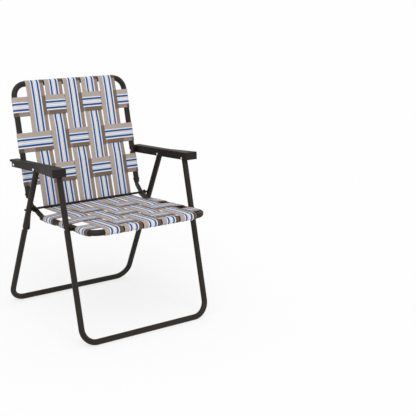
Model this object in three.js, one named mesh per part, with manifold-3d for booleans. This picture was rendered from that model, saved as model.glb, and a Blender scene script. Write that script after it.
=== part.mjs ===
// Folding webbed lawn chair with armrests, open for use, standing on z = 0 and facing -Y.
// Millimetres, +Z up, the origin under the middle of the whole chair. Left is -X.
import * as THREE from "three";
import { mergeVertices } from "three/addons/utils/BufferGeometryUtils.js";
import Module from "manifold-3d";

// Frame tubes
const TUBE_RADIUS = 10.5;
const TUBE_WALL = 1.2;
const TUBE_SIDES = 12;
const BEND_STEPS = 6;
const LEG_BEND = 55;
const BACK_BEND = 46;
const SEAT_BEND = 42;

// Places across the width, from the middle plane
const BACK_HALF_WIDTH = 236;
const SIDE_GAP = 6.5;

// Legs: the floor bars' spacing, and the lean of each pair from upright
const BAR_SPAN = 544.8;
const FRONT_LEAN = THREE.MathUtils.degToRad(15.59);
const REAR_LEAN = THREE.MathUtils.degToRad(22.48);
const LEG_ABOVE_PIVOT = 12;

// Armrests: the line of their three pivots falls towards the rear, and the moulding tilts a little more
const ARM_PIVOT_HEIGHT = 576.8;
const ARM_SLOPE = THREE.MathUtils.degToRad(4.15);
const ARM_TILT = THREE.MathUtils.degToRad(0.8);
const ARM_REACH = 309;
const ARM_FRONT_OVERHANG = 29.5;
const ARM_REAR_OVERHANG = 19;
const ARM_WALL_END = 14.5;
const ARM_WAIST = 118;
const ARM_WAIST_BEND = 34;
const ARM_TOP = 21;
const ARM_PLATE = 4;
const ARM_WALL = 2.6;
const ARM_WALL_DROP = 7;
const ARM_RIM_DROP = 4;
const ARM_FRONT_WIDTH = 53;
const ARM_REAR_WIDTH = 35;
const ARM_CORNER = 5;
const ARM_HEEL = 4;
const ARM_PLAY = 0.9;
const ARM_CURVE_STEPS = 4;

// Back: a tube leaning back through the rear armrest pivot
const RECLINE = THREE.MathUtils.degToRad(15.06);
const BACK_TOP_HEIGHT = 833;
const BACK_TAIL = 127;

// Seat: rails through the front leg pivots, rising to the front
const SEAT_PIVOT_HEIGHT = 396.5;
const SEAT_PITCH = THREE.MathUtils.degToRad(4.2);
const SEAT_REACH = 121;
const SEAT_TAIL = 228;

// Tangs: flat bars from the open tube ends to the hinge rod, side by side a little inside the tubes' middle
const TANG_INSET = 3;
const TANG_THICKNESS = 3.5;
const TANG_WIDTH = 24;
const TANG_INSERT = 24;
const TANG_RIVET_DEPTH = 14;
const TANG_STRAIGHT = 7;

// Hinge rod of seat and back, just behind the rear legs, which lean on its caps
const HINGE_DROP = 187.6;
const ROD_RADIUS = 4.25;
const ROD_NECK_RADIUS = 2.4;
const ROD_NECK_LENGTH = 8;
const CAP_RADIUS = 3.7;
const CAP_LENGTH = 20;
const STOP_GAP = 0.3;

// Links from the hinge rod to the rear legs
const LINK_PIN_DROP = 258;
const LINK_THICKNESS = 3;
const LINK_WIDTH = 18;

// Rivets and spacers
const RIVET_RADIUS = 3;
const RIVET_HEAD = 4.8;
const RIVET_DOME = 1.9;
const TAIL_DOME = 1.6;
const SPACER_RADIUS = 7;
const ROUND_SIDES = 12;

// Webbing
const STRAP_WIDTH = 72;
const STRAP_THICKNESS = 1.4;
const LONG_COUNT = 5;
const LONG_GAP = 5.5;

// Gaps before, between and after the cross straps, which share the free length on each side of a rail's pivot
const BACK_GAPS = { aheadOfPivot: [48, 59.3, 29.9], behindPivot: [4.8, 23.8] };
const SEAT_GAPS = { aheadOfPivot: [21, 20.7], behindPivot: [6.2, 41.5, 9.9] };

// How a strap lies over and under, and round a tube
const WEAVE_GAP = 0.4;
const WEAVE_MARGIN = 0.6;
const WRAP_TURN = THREE.MathUtils.degToRad(180);
const WRAP_STEPS = 8;
const ROD_WRAP_STEPS = 3;

// Clearances: touching pieces, and pieces that turn past each other
const FIT_GAP = 0.3;
const RUN_GAP = 0.5;

const wasm = await Module();
wasm.setup();

// Flat points are (y, z) in the side view, unless a comment says otherwise.
const point = (y, z) => new THREE.Vector2(y, z);
const along = (from, direction, distance) => from.clone().addScaledVector(direction, distance);
const inSpace = (x, flat) => new THREE.Vector3(x, flat.x, flat.y);

// The facets of a tube lie on its radius, so its corners reach a little further.
const cornerReach = (radius) => radius / Math.cos(Math.PI / TUBE_SIDES);
const tubeReach = cornerReach(TUBE_RADIUS);

// Places across the width that follow from the tubes
const legHalfWidth = BACK_HALF_WIDTH + 2 * TUBE_RADIUS + SIDE_GAP;
const backOuter = BACK_HALF_WIDTH + tubeReach;
const backInner = BACK_HALF_WIDTH - tubeReach;
const legInner = legHalfWidth - tubeReach;
const legOuter = legHalfWidth + tubeReach;
const armInner = legInner - ARM_PLAY - ARM_WALL;
const armOuter = legOuter + ARM_PLAY + ARM_WALL;
const linkOuter = legInner - RUN_GAP;
const linkInner = linkOuter - LINK_THICKNESS;
const seatTangOuter = BACK_HALF_WIDTH - TANG_INSET - FIT_GAP;
const seatTangInner = seatTangOuter - TANG_THICKNESS;
const backTangInner = BACK_HALF_WIDTH - TANG_INSET + FIT_GAP;
const backTangOuter = backTangInner + TANG_THICKNESS;

// Directions in the side view
const frontUp = point(Math.sin(FRONT_LEAN), Math.cos(FRONT_LEAN));
const rearUp = point(-Math.sin(REAR_LEAN), Math.cos(REAR_LEAN));
const rearSide = point(Math.cos(REAR_LEAN), Math.sin(REAR_LEAN));
const armRearward = point(Math.cos(ARM_SLOPE), -Math.sin(ARM_SLOPE));
const backUp = point(Math.sin(RECLINE), Math.cos(RECLINE));
const backDown = backUp.clone().negate();
const backFace = point(-Math.cos(RECLINE), Math.sin(RECLINE));
const seatForward = point(-Math.cos(SEAT_PITCH), Math.sin(SEAT_PITCH));
const seatRearward = seatForward.clone().negate();
const seatFace = point(Math.sin(SEAT_PITCH), Math.cos(SEAT_PITCH));

// Distance from a point, along a direction, to another line.
function reachToLine(from, direction, linePoint, lineDirection) {
  const gap = linePoint.clone().sub(from);
  return gap.cross(lineDirection) / direction.cross(lineDirection);
}

// Pivots and tube ends
const frontFoot = point(-BAR_SPAN / 2, TUBE_RADIUS);
const rearFoot = point(BAR_SPAN / 2, TUBE_RADIUS);
const onFrontLeg = (height) => along(frontFoot, frontUp, (height - TUBE_RADIUS) / frontUp.y);
const armFrontPivot = onFrontLeg(ARM_PIVOT_HEIGHT);
const armMidReach = reachToLine(armFrontPivot, armRearward, rearFoot, rearUp);
const armMidPivot = along(armFrontPivot, armRearward, armMidReach);
const armRearPivot = along(armFrontPivot, armRearward, ARM_REACH);
const seatPivot = onFrontLeg(SEAT_PIVOT_HEIGHT);
const hingeOffset = tubeReach + CAP_RADIUS + STOP_GAP;
const hinge = along(along(armMidPivot, rearUp, -HINGE_DROP), rearSide, hingeOffset);
const linkPin = along(armMidPivot, rearUp, -LINK_PIN_DROP);
const backTop = along(armRearPivot, backUp, (BACK_TOP_HEIGHT - armRearPivot.y) / backUp.y);
const backEnd = along(armRearPivot, backDown, BACK_TAIL);
const seatFront = along(seatPivot, seatForward, SEAT_REACH);
const seatEnd = along(seatPivot, seatRearward, SEAT_TAIL);

// A tube's centre-line of straight runs and round bends. It has points only where it bends and ends.
class BentPath extends THREE.Curve {
  constructor(corners, bends, firstNormal) {
    super();
    this.knots = [];
    this.firstNormal = firstNormal;
    const last = corners.length - 1;
    const direction = (i) => corners[i + 1].clone().sub(corners[i]).normalize();
    this.knots.push({ place: corners[0], tangent: direction(0) });
    for (let i = 1; i < last; i++) this.bend(corners[i], direction(i - 1), direction(i), bends[i - 1]);
    this.knots.push({ place: corners[last], tangent: direction(last - 1) });
  }

  bend(corner, before, after, radius) {
    const turn = before.angleTo(after);
    const start = corner.clone().addScaledVector(before, -radius * Math.tan(turn / 2));
    const axis = before.clone().cross(after).normalize();
    const inward = axis.clone().cross(before);
    const centre = start.clone().addScaledVector(inward, radius);
    for (let step = 0; step <= BEND_STEPS; step++) {
      const angle = (turn * step) / BEND_STEPS;
      const spoke = inward.clone().multiplyScalar(-radius).applyAxisAngle(axis, angle);
      const tangent = before.clone().applyAxisAngle(axis, angle);
      this.knots.push({ place: centre.clone().add(spoke), tangent });
    }
  }

  get steps() {
    return this.knots.length - 1;
  }

  getPoint(t) {
    return this.knots[Math.round(t * this.steps)].place.clone();
  }

  getPointAt(t) {
    return this.getPoint(t);
  }

  computeFrenetFrames() {
    const tangents = this.knots.map((knot) => knot.tangent);
    const normals = [];
    let normal = this.firstNormal;
    for (const tangent of tangents) {
      normal = normal.clone().addScaledVector(tangent, -normal.dot(tangent)).normalize();
      normals.push(normal);
    }
    const binormals = tangents.map((tangent, i) => tangent.clone().cross(normals[i]));
    return { tangents, normals, binormals };
  }
}

// A regular ring of corners whose facets lie on the radius.
function facetRing(radius, turn) {
  const reach = cornerReach(radius);
  const ring = [];
  for (let i = 0; i < TUBE_SIDES; i++) {
    const angle = turn + ((i + 0.5) * 2 * Math.PI) / TUBE_SIDES;
    ring.push(new THREE.Vector2(reach * Math.cos(angle), reach * Math.sin(angle)));
  }
  return ring;
}

// An open-ended bent tube.
function tube(corners, bends, firstNormal, turn = 0) {
  const section = new THREE.Shape(facetRing(TUBE_RADIUS, turn));
  section.holes.push(new THREE.Path(facetRing(TUBE_RADIUS - TUBE_WALL, turn)));
  const extrudePath = new BentPath(corners, bends, firstNormal);
  return new THREE.ExtrudeGeometry(section, { extrudePath, steps: extrudePath.steps, bevelEnabled: false });
}

// A closed geometry as a solid that can be joined and cut.
function solid(geometry) {
  const bare = geometry.clone();
  bare.deleteAttribute("normal");
  bare.deleteAttribute("uv");
  const merged = mergeVertices(bare, 1e-3);
  const vertProperties = merged.attributes.position.array;
  const triVerts = new Uint32Array(merged.index.array);
  return new wasm.Manifold(new wasm.Mesh({ numProp: 3, vertProperties, triVerts }));
}

// The geometry of a solid.
function shapeOf(made) {
  const mesh = made.getMesh();
  const geometry = new THREE.BufferGeometry();
  geometry.setAttribute("position", new THREE.BufferAttribute(mesh.vertProperties, 3));
  geometry.setIndex(new THREE.BufferAttribute(mesh.triVerts, 1));
  geometry.computeVertexNormals();
  return geometry;
}

// A flat outline in the side view, as thick as the stretch of X from one place to another.
function sidePlate(outline, fromX, toX) {
  const depth = Math.abs(toX - fromX);
  const curveSegments = ARM_CURVE_STEPS;
  const plate = new THREE.ExtrudeGeometry(outline, { depth, bevelEnabled: false, curveSegments });
  const toSide = new THREE.Matrix4().makeBasis(
    new THREE.Vector3(0, 1, 0),
    new THREE.Vector3(0, 0, 1),
    new THREE.Vector3(1, 0, 0),
  );
  return plate.applyMatrix4(toSide).translate(Math.min(fromX, toX), 0, 0);
}

// A round bar along X.
function crossPin(place, radius, fromX, toX) {
  const bar = new THREE.CylinderGeometry(radius, radius, Math.abs(toX - fromX), ROUND_SIDES);
  return bar.rotateZ(Math.PI / 2).translate((fromX + toX) / 2, place.x, place.y);
}

// A turned piece along X: its profile is (radius, distance from the middle plane), inner end first.
function turned(profile, side, place) {
  const lathe = new THREE.LatheGeometry(profile.map(([r, x]) => new THREE.Vector2(r, x)), ROUND_SIDES);
  return lathe.rotateZ((-side * Math.PI) / 2).translate(0, place.x, place.y);
}

// A domed head's profile, from its rim to its crown.
const dome = (seat, height) => [
  [RIVET_HEAD, seat],
  [RIVET_HEAD * 0.7, seat + height * 0.7],
  [0, seat + height],
];

// A rivet with a domed head beyond each of its two seats.
function rivet(side, place, innerSeat, outerSeat) {
  const inner = innerSeat - FIT_GAP;
  const outer = outerSeat + FIT_GAP;
  const shank = [
    [RIVET_RADIUS, inner],
    [RIVET_RADIUS, outer],
  ];
  return turned([...dome(inner, -RIVET_DOME).reverse(), ...shank, ...dome(outer, RIVET_DOME)], side, place);
}

// A rivet's outer head and its shank, which stops at a flat inner end.
function outerRivet(side, place, innerEnd, outerSeat) {
  const outer = outerSeat + FIT_GAP;
  const shank = [
    [0, innerEnd],
    [RIVET_RADIUS, innerEnd],
    [RIVET_RADIUS, outer],
  ];
  return turned([...shank, ...dome(outer, RIVET_DOME)], side, place);
}

// A rivet's inner head and its shank, which stops at a flat outer end.
function innerRivet(side, place, innerSeat, outerEnd, height) {
  const inner = innerSeat - FIT_GAP;
  const shank = [
    [RIVET_RADIUS, inner],
    [RIVET_RADIUS, outerEnd],
    [0, outerEnd],
  ];
  return turned([...dome(inner, -height).reverse(), ...shank], side, place);
}

// A ring between two places across the width.
function spacer(side, place, boreRadius, fromX, toX) {
  const profile = [
    [boreRadius, fromX],
    [SPACER_RADIUS, fromX],
    [SPACER_RADIUS, toX],
    [boreRadius, toX],
    [boreRadius, fromX],
  ];
  return turned(profile, side, place);
}

// Cuts a hole along X through a solid, on one side of the chair.
function drill(made, side, place, radius, fromX, toX) {
  return made.subtract(solid(crossPin(place, radius, side * fromX, side * toX)));
}

// A band of even width along a line of flat points, as a closed outline.
function band(line, width) {
  const left = [];
  const right = [];
  line.forEach((place, i) => {
    const heading = new THREE.Vector2();
    if (i > 0) heading.add(place.clone().sub(line[i - 1]).normalize());
    if (i < line.length - 1) heading.add(line[i + 1].clone().sub(place).normalize());
    heading.normalize();
    const across = new THREE.Vector2(-heading.y, heading.x).multiplyScalar(width / 2);
    left.push(place.clone().add(across));
    right.unshift(place.clone().sub(across));
  });
  return new THREE.Shape([...left, ...right]);
}

// Points of an arc, from one angle to another.
function arc(centre, radius, from, to, steps) {
  const points = [];
  for (let i = 0; i <= steps; i++) {
    const angle = from + ((to - from) * i) / steps;
    points.push(along(centre, new THREE.Vector2(Math.cos(angle), Math.sin(angle)), radius));
  }
  return points;
}

// A closed outline of straight edges, each corner rounded by its own radius.
function roundedOutline(corners, radii) {
  const outline = new THREE.Shape();
  corners.forEach((corner, i) => {
    const before = corners[(i + corners.length - 1) % corners.length];
    const after = corners[(i + 1) % corners.length];
    const start = along(corner, before.clone().sub(corner).normalize(), radii[i]);
    const end = along(corner, after.clone().sub(corner).normalize(), radii[i]);
    if (i === 0) outline.moveTo(start.x, start.y);
    else outline.lineTo(start.x, start.y);
    if (radii[i] > 0) outline.quadraticCurveTo(corner.x, corner.y, end.x, end.y);
  });
  return outline;
}

// Finishes
const coatedSteel = () => new THREE.MeshStandardMaterial({ color: 0x35312d, roughness: 0.5, metalness: 0.5 });
const zincSteel = () => new THREE.MeshStandardMaterial({ color: 0xb9bcc0, roughness: 0.35, metalness: 0.9 });
const blackPlastic = () => new THREE.MeshStandardMaterial({ color: 0x1c1b1a, roughness: 0.55, metalness: 0 });
const wovenPlastic = () => new THREE.MeshStandardMaterial({ color: 0xb3a69a, roughness: 0.9, metalness: 0 });

const chair = new THREE.Group();
chair.name = "folding_lawn_chair";

function addPiece(name, geometry, material, parent = chair) {
  const mesh = new THREE.Mesh(geometry, material);
  mesh.name = name;
  parent.add(mesh);
}

const SIDES = [
  { side: -1, hand: "left" },
  { side: 1, hand: "right" },
];
const rivetHole = RIVET_RADIUS + FIT_GAP;
const rodHole = ROD_RADIUS + FIT_GAP;
const neckHole = ROD_NECK_RADIUS + FIT_GAP;

// One U-shaped leg frame: up each side from its floor bar, with a flat of the bar on the floor.
function legFrame(foot, up, topPivot, lean) {
  const top = along(topPivot, up, LEG_ABOVE_PIVOT);
  const corners = [
    inSpace(-legHalfWidth, top),
    inSpace(-legHalfWidth, foot),
    inSpace(legHalfWidth, foot),
    inSpace(legHalfWidth, top),
  ];
  const normal = new THREE.Vector3(0, -up.y, up.x);
  return solid(tube(corners, [LEG_BEND, LEG_BEND], normal, lean));
}

// Drills the same rivet hole through both tubes of a frame, at places out from the middle plane.
function drillPair(frame, place, fromX, toX) {
  return SIDES.reduce((made, { side }) => drill(made, side, place, rivetHole, fromX, toX), frame);
}

const drillLegs = (frame, place) => drillPair(frame, place, legInner - FIT_GAP, legOuter + FIT_GAP);
const drillRails = (frame, place) => drillPair(frame, place, backInner - FIT_GAP, backOuter + FIT_GAP);

function addLegs() {
  const front = legFrame(frontFoot, frontUp, armFrontPivot, FRONT_LEAN);
  const drilled = drillLegs(drillLegs(front, armFrontPivot), seatPivot);
  addPiece("front_leg_frame", shapeOf(drilled), coatedSteel());
  const rear = legFrame(rearFoot, rearUp, armMidPivot, -REAR_LEAN);
  addPiece("rear_leg_frame", shapeOf(drillLegs(drillLegs(rear, armMidPivot), linkPin)), coatedSteel());
}

// A U of tube between two ends, with its corners at a far tube across the chair.
function railFrame(end, far, bend, face) {
  const corners = [
    inSpace(-BACK_HALF_WIDTH, end),
    inSpace(-BACK_HALF_WIDTH, far),
    inSpace(BACK_HALF_WIDTH, far),
    inSpace(BACK_HALF_WIDTH, end),
  ];
  return solid(tube(corners, [bend, bend], inSpace(0, face)));
}

const backTangRivet = along(backEnd, backUp, TANG_RIVET_DEPTH);
const seatTangRivet = along(seatEnd, seatForward, TANG_RIVET_DEPTH);

function addRails() {
  const back = railFrame(backEnd, backTop, BACK_BEND, backFace);
  addPiece("back_frame", shapeOf(drillRails(drillRails(back, armRearPivot), backTangRivet)), coatedSteel());
  const seat = railFrame(seatEnd, seatFront, SEAT_BEND, seatFace);
  addPiece("seat_frame", shapeOf(drillRails(drillRails(seat, seatPivot), seatTangRivet)), coatedSteel());
}

// A tang: narrow where it fits the tube's bore, wide outside it, and round at the hinge rod.
function tang(side, end, inward, rivetPlace, inner, outer) {
  const farthest = Math.max(Math.abs(inner - BACK_HALF_WIDTH), Math.abs(outer - BACK_HALF_WIDTH));
  const halfChord = Math.sqrt((TUBE_RADIUS - TUBE_WALL) ** 2 - farthest ** 2);
  const insertLine = [along(end, inward, TANG_INSERT), along(end, inward, -TANG_WIDTH / 4)];
  const insert = band(insertLine, 2 * (halfChord - FIT_GAP));
  const bladeLine = [along(end, inward, -FIT_GAP), along(end, inward, -TANG_STRAIGHT), hinge];
  const blade = band(bladeLine, TANG_WIDTH);
  let made = solid(sidePlate(insert, side * inner, side * outer));
  made = made.add(solid(sidePlate(blade, side * inner, side * outer)));
  made = made.add(solid(crossPin(hinge, TANG_WIDTH / 2, side * inner, side * outer)));
  made = drill(made, side, hinge, rodHole, inner - FIT_GAP, outer + FIT_GAP);
  return drill(made, side, rivetPlace, rivetHole, inner - FIT_GAP, outer + FIT_GAP);
}

function addTangs() {
  for (const { side, hand } of SIDES) {
    const back = tang(side, backEnd, backUp, backTangRivet, backTangInner, backTangOuter);
    addPiece(`back_tang_${hand}`, shapeOf(back), coatedSteel());
    addPiece(`back_tang_rivet_${hand}`, rivet(side, backTangRivet, backInner, backOuter), coatedSteel());
    const seat = tang(side, seatEnd, seatForward, seatTangRivet, seatTangInner, seatTangOuter);
    addPiece(`seat_tang_${hand}`, shapeOf(seat), coatedSteel());
    addPiece(`seat_tang_rivet_${hand}`, rivet(side, seatTangRivet, backInner, backOuter), coatedSteel());
  }
}

// Hinge rod with a thin neck at each end that goes through a link into the cap that keeps the link on,
// and a sleeve between each tang and link.
function addHingeRod() {
  const shoulder = linkInner - FIT_GAP;
  const seat = linkOuter + FIT_GAP;
  const neckEnd = seat + ROD_NECK_LENGTH;
  const rod = [
    [0, -neckEnd],
    [ROD_NECK_RADIUS, -neckEnd],
    [ROD_NECK_RADIUS, -shoulder],
    [ROD_RADIUS, -shoulder],
    [ROD_RADIUS, shoulder],
    [ROD_NECK_RADIUS, shoulder],
    [ROD_NECK_RADIUS, neckEnd],
    [0, neckEnd],
  ];
  addPiece("hinge_rod", turned(rod, 1, hinge), coatedSteel());
  const cap = [
    [0, neckEnd + FIT_GAP],
    [neckHole, neckEnd + FIT_GAP],
    [neckHole, seat],
    [CAP_RADIUS, seat],
    [CAP_RADIUS, seat + CAP_LENGTH - CAP_RADIUS / 2],
    [CAP_RADIUS * 0.7, seat + CAP_LENGTH - CAP_RADIUS / 6],
    [0, seat + CAP_LENGTH],
  ];
  for (const { side, hand } of SIDES) {
    addPiece(`rod_cap_${hand}`, turned(cap, side, hinge), blackPlastic());
    const sleeve = spacer(side, hinge, rodHole, backTangOuter + FIT_GAP, linkInner - FIT_GAP);
    addPiece(`rod_spacer_${hand}`, sleeve, blackPlastic());
  }
}

// Rear links: flat bars from the hinge rod down to the rear legs, each pinned by a rivet in two halves.
function addLinks() {
  for (const { side, hand } of SIDES) {
    const inner = side * linkInner;
    const outer = side * linkOuter;
    let bar = solid(sidePlate(band([hinge, linkPin], LINK_WIDTH), inner, outer));
    bar = bar.add(solid(crossPin(hinge, LINK_WIDTH / 2, inner, outer)));
    bar = bar.add(solid(crossPin(linkPin, LINK_WIDTH / 2, inner, outer)));
    bar = drill(bar, side, hinge, neckHole, linkInner - FIT_GAP, linkOuter + FIT_GAP);
    bar = drill(bar, side, linkPin, rivetHole, linkInner - FIT_GAP, linkOuter + FIT_GAP);
    addPiece(`rear_link_${hand}`, shapeOf(bar), coatedSteel());
    const tail = innerRivet(side, linkPin, linkInner, linkOuter, TAIL_DOME);
    addPiece(`link_rivet_tail_${hand}`, tail, zincSteel());
    addPiece(`link_rivet_${hand}`, outerRivet(side, linkPin, legInner, legOuter), zincSteel());
  }
}

// Seat pivots: a rivet in two halves and a spacer between each rail and front leg.
function addSeatPivots() {
  const outerEnd = legInner - RUN_GAP;
  for (const { side, hand } of SIDES) {
    const ring = spacer(side, seatPivot, rivetHole, backOuter + FIT_GAP, outerEnd);
    addPiece(`seat_spacer_${hand}`, ring, blackPlastic());
    const rivet = innerRivet(side, seatPivot, backInner, outerEnd, RIVET_DOME);
    addPiece(`seat_rivet_${hand}`, rivet, zincSteel());
    addPiece(`front_leg_rivet_${hand}`, outerRivet(side, seatPivot, legInner, legOuter), zincSteel());
  }
}

// Armrest outline from above, in (x, distance behind the front pivot), drawn in by an inset.
// It is narrow from the rear to the waist, and widens from there to the front.
function armOutline(side, inset, rearWidth) {
  const front = -ARM_FRONT_OVERHANG + inset;
  const rear = ARM_REACH + ARM_REAR_OVERHANG - inset;
  const inner = side * (armInner + inset);
  const corners = [
    point(inner, front),
    point(side * (armInner + ARM_FRONT_WIDTH - inset), front),
    point(side * (armOuter - inset), ARM_WAIST),
    point(side * (armInner + rearWidth - inset), rear),
    point(inner, rear),
  ];
  const corner = ARM_CORNER - inset;
  const radii = [corner, corner, ARM_WAIST_BEND, corner, corner];
  if (side > 0) return roundedOutline(corners, radii);
  return roundedOutline(corners.reverse(), radii.reverse());
}

// A slab of an armrest between two heights above the line of its pivots.
function armSlab(outline, from, to) {
  const options = { depth: to - from, bevelEnabled: false, curveSegments: ARM_CURVE_STEPS };
  return solid(new THREE.ExtrudeGeometry(outline, options).translate(0, 0, from));
}

// An armrest is a moulded channel over the leg tops, under a top plate that overhangs it at the rear.
// Its outer wall widens with the plate towards the closed front, and a rib inside takes the front rivet.
function armrest(side) {
  const ceiling = ARM_TOP - ARM_PLATE;
  const lap = ceiling + ARM_PLATE / 2;
  const front = -ARM_FRONT_OVERHANG;
  const wallEnd = ARM_REACH + ARM_WALL_END;
  const plate = armOutline(side, 0, ARM_REAR_WIDTH);
  const rim = armOutline(side, 0, ARM_REAR_WIDTH);
  rim.holes.push(armOutline(side, ARM_WALL, ARM_REAR_WIDTH));
  const skirt = armOutline(side, 0, armOuter - armInner);
  skirt.holes.push(armOutline(side, ARM_WALL, armOuter - armInner));
  const wallCorners = [
    point(front - FIT_GAP, lap),
    point(front - FIT_GAP, -ARM_WALL_DROP),
    point(wallEnd, -ARM_WALL_DROP),
    point(wallEnd, lap),
  ];
  const wallShape = roundedOutline(wallCorners, [0, 0, ARM_HEEL, 0]);
  const wallFrom = side * (armInner - FIT_GAP);
  const wallTo = side * (armInner + ARM_FRONT_WIDTH + FIT_GAP);
  const wallSide = solid(sidePlate(wallShape, wallFrom, wallTo));
  const walls = armSlab(skirt, -ARM_WALL_DROP, lap).intersect(wallSide);
  let made = armSlab(plate, ceiling, ARM_TOP);
  made = made.add(armSlab(rim, ceiling - ARM_RIM_DROP, lap)).add(walls);
  const ribCorners = [
    point(front + ARM_WALL / 2, lap),
    point(front + ARM_WALL / 2, -ARM_WALL_DROP),
    point(ARM_WAIST, -ARM_WALL_DROP),
    point(ARM_WAIST, lap),
  ];
  const ribShape = roundedOutline(ribCorners, [0, 0, 0, 0]);
  made = made.add(solid(sidePlate(ribShape, side * (armOuter - ARM_WALL), side * armOuter)));
  const tilt = THREE.MathUtils.radToDeg(-ARM_TILT);
  made = made.translate([0, -armMidReach, 0]).rotate([tilt, 0, 0]).translate([0, armMidReach, 0]);
  for (const reach of [0, armMidReach, ARM_REACH]) {
    made = drill(made, side, point(reach, 0), rivetHole, armInner - FIT_GAP, armOuter + FIT_GAP);
  }
  return made;
}

function addArmrests() {
  const arms = new THREE.Group();
  arms.position.set(0, armFrontPivot.x, armFrontPivot.y);
  arms.rotation.x = -ARM_SLOPE;
  chair.add(arms);
  for (const { side, hand } of SIDES) {
    addPiece(`armrest_${hand}`, shapeOf(armrest(side)), blackPlastic(), arms);
    addPiece(`arm_front_rivet_${hand}`, rivet(side, armFrontPivot, armInner, armOuter), zincSteel());
    addPiece(`arm_middle_rivet_${hand}`, rivet(side, armMidPivot, armInner, armOuter), zincSteel());
    addPiece(`arm_rear_rivet_${hand}`, rivet(side, armRearPivot, backInner, armOuter), zincSteel());
    const ring = spacer(side, armRearPivot, rivetHole, backOuter + FIT_GAP, armInner - FIT_GAP);
    addPiece(`arm_spacer_${hand}`, ring, blackPlastic());
  }
}

// Webbing: how far the middle of a strap runs from the middle of a tube or of the rod that it bends round.
const tubeWrap = tubeReach + FIT_GAP + STRAP_THICKNESS / 2;
const rodWrap = ROD_RADIUS + FIT_GAP + STRAP_THICKNESS / 2;
const weaveStep = (STRAP_THICKNESS + WEAVE_GAP) / 2;
const halfFlat = STRAP_WIDTH / 2 + WEAVE_MARGIN;
const longMiddle = (i) => (i - (LONG_COUNT - 1) / 2) * (STRAP_WIDTH + LONG_GAP);
const crossIsOver = (long, cross) => (long + cross) % 2 === 1;

// The run of a long strap: from the face of a tube, along the side tubes, to the far side of the hinge rod.
function longRun(tubeCentre, sideDirection, faceDirection) {
  const span = hinge.clone().sub(tubeCentre);
  const heading = span.clone().normalize();
  const face = faceDirection.clone().addScaledVector(heading, -faceDirection.dot(heading)).normalize();
  const tilt = Math.asin((tubeWrap + rodWrap) / span.length());
  const normal = face.multiplyScalar(Math.cos(tilt)).addScaledVector(heading, Math.sin(tilt));
  const start = along(tubeCentre, normal, tubeWrap);
  const end = along(hinge, normal, -rodWrap);
  return { tubeCentre, sideDirection, faceDirection, start, normal, heading: end.sub(start).normalize() };
}

// The middles of the straps between two places on a rail, whose gaps share what the straps leave free.
function strapMiddles(from, to, gaps) {
  const count = gaps.length - 1;
  const shares = gaps.reduce((sum, gap) => sum + gap, 0);
  const share = (to - from - count * STRAP_WIDTH) / shares;
  let edge = from;
  return gaps.slice(0, count).map((gap) => {
    const middle = edge + gap * share + STRAP_WIDTH / 2;
    edge = middle + STRAP_WIDTH / 2;
    return middle;
  });
}

// The places where cross straps meet a long run, each with the run's height over the side tubes there.
// They keep clear of the rail's pivot and of the tang rivet at its end.
function crossings(run, pivot, railEnd, gaps) {
  const toPivot = run.tubeCentre.distanceTo(pivot);
  const pivotRoom = SPACER_RADIUS + FIT_GAP;
  const toRivet = run.tubeCentre.distanceTo(railEnd) - TANG_RIVET_DEPTH - RIVET_HEAD - FIT_GAP;
  const ahead = strapMiddles(0, toPivot - pivotRoom, gaps.aheadOfPivot);
  const behind = strapMiddles(toPivot + pivotRoom, toRivet, gaps.behindPivot);
  return [...ahead, ...behind].map((distance) => {
    const centre = along(run.tubeCentre, run.sideDirection, distance);
    const level = reachToLine(centre, run.faceDirection, run.start, run.heading);
    return { centre, level };
  });
}

const backRun = longRun(backTop, backDown, backFace);
const seatRun = longRun(seatFront, seatRearward, seatFace);
const backCrossings = crossings(backRun, armRearPivot, backEnd, BACK_GAPS);
const seatCrossings = crossings(seatRun, seatPivot, seatEnd, SEAT_GAPS);

// Half of the bend round the rod, from one run towards the other.
function rodBend(run, other) {
  const from = run.normal.clone().negate().angle();
  const to = other.normal.clone().negate().angle();
  const turn = THREE.MathUtils.euclideanModulo(to - from + Math.PI, 2 * Math.PI) - Math.PI;
  const gap = (Math.sign(turn) * FIT_GAP) / rodWrap;
  return arc(hinge, rodWrap, from, from + turn / 2 - gap, ROD_WRAP_STEPS);
}

// A long strap: round its tube, woven over and under the cross straps, then round half of the rod.
function longStrap(run, other, places, index) {
  const face = run.normal.angle();
  const turnSign = Math.sign(run.heading.cross(run.normal));
  const line = arc(run.tubeCentre, tubeWrap, face + turnSign * WRAP_TURN, face, WRAP_STEPS);
  places.forEach(({ centre, level }, j) => {
    const height = level + (crossIsOver(index, j) ? -weaveStep : weaveStep);
    for (const offset of [-halfFlat, halfFlat]) {
      line.push(along(along(centre, run.sideDirection, offset), run.faceDirection, height));
    }
  });
  line.push(...rodBend(run, other));
  const middle = longMiddle(index);
  return sidePlate(band(line, STRAP_THICKNESS), middle - STRAP_WIDTH / 2, middle + STRAP_WIDTH / 2);
}

// A cross strap, drawn in (x, height over the side tubes): round each side tube, woven in between.
function crossStrap({ centre, level }, faceDirection, index) {
  const top = Math.PI / 2;
  const line = arc(point(-BACK_HALF_WIDTH, 0), tubeWrap, top + WRAP_TURN, top, WRAP_STEPS);
  for (let i = 0; i < LONG_COUNT; i++) {
    const height = level + (crossIsOver(i, index) ? weaveStep : -weaveStep);
    line.push(point(longMiddle(i) - halfFlat, height), point(longMiddle(i) + halfFlat, height));
  }
  line.push(...arc(point(BACK_HALF_WIDTH, 0), tubeWrap, top, top - WRAP_TURN, WRAP_STEPS));
  const options = { depth: STRAP_WIDTH, bevelEnabled: false };
  const strap = new THREE.ExtrudeGeometry(band(line, STRAP_THICKNESS), options);
  const acrossAxis = new THREE.Vector3(1, 0, 0);
  const faceAxis = inSpace(0, faceDirection);
  const place = new THREE.Matrix4().makeBasis(acrossAxis, faceAxis, acrossAxis.clone().cross(faceAxis));
  return strap.translate(0, 0, -STRAP_WIDTH / 2).applyMatrix4(place.setPosition(inSpace(0, centre)));
}

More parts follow.
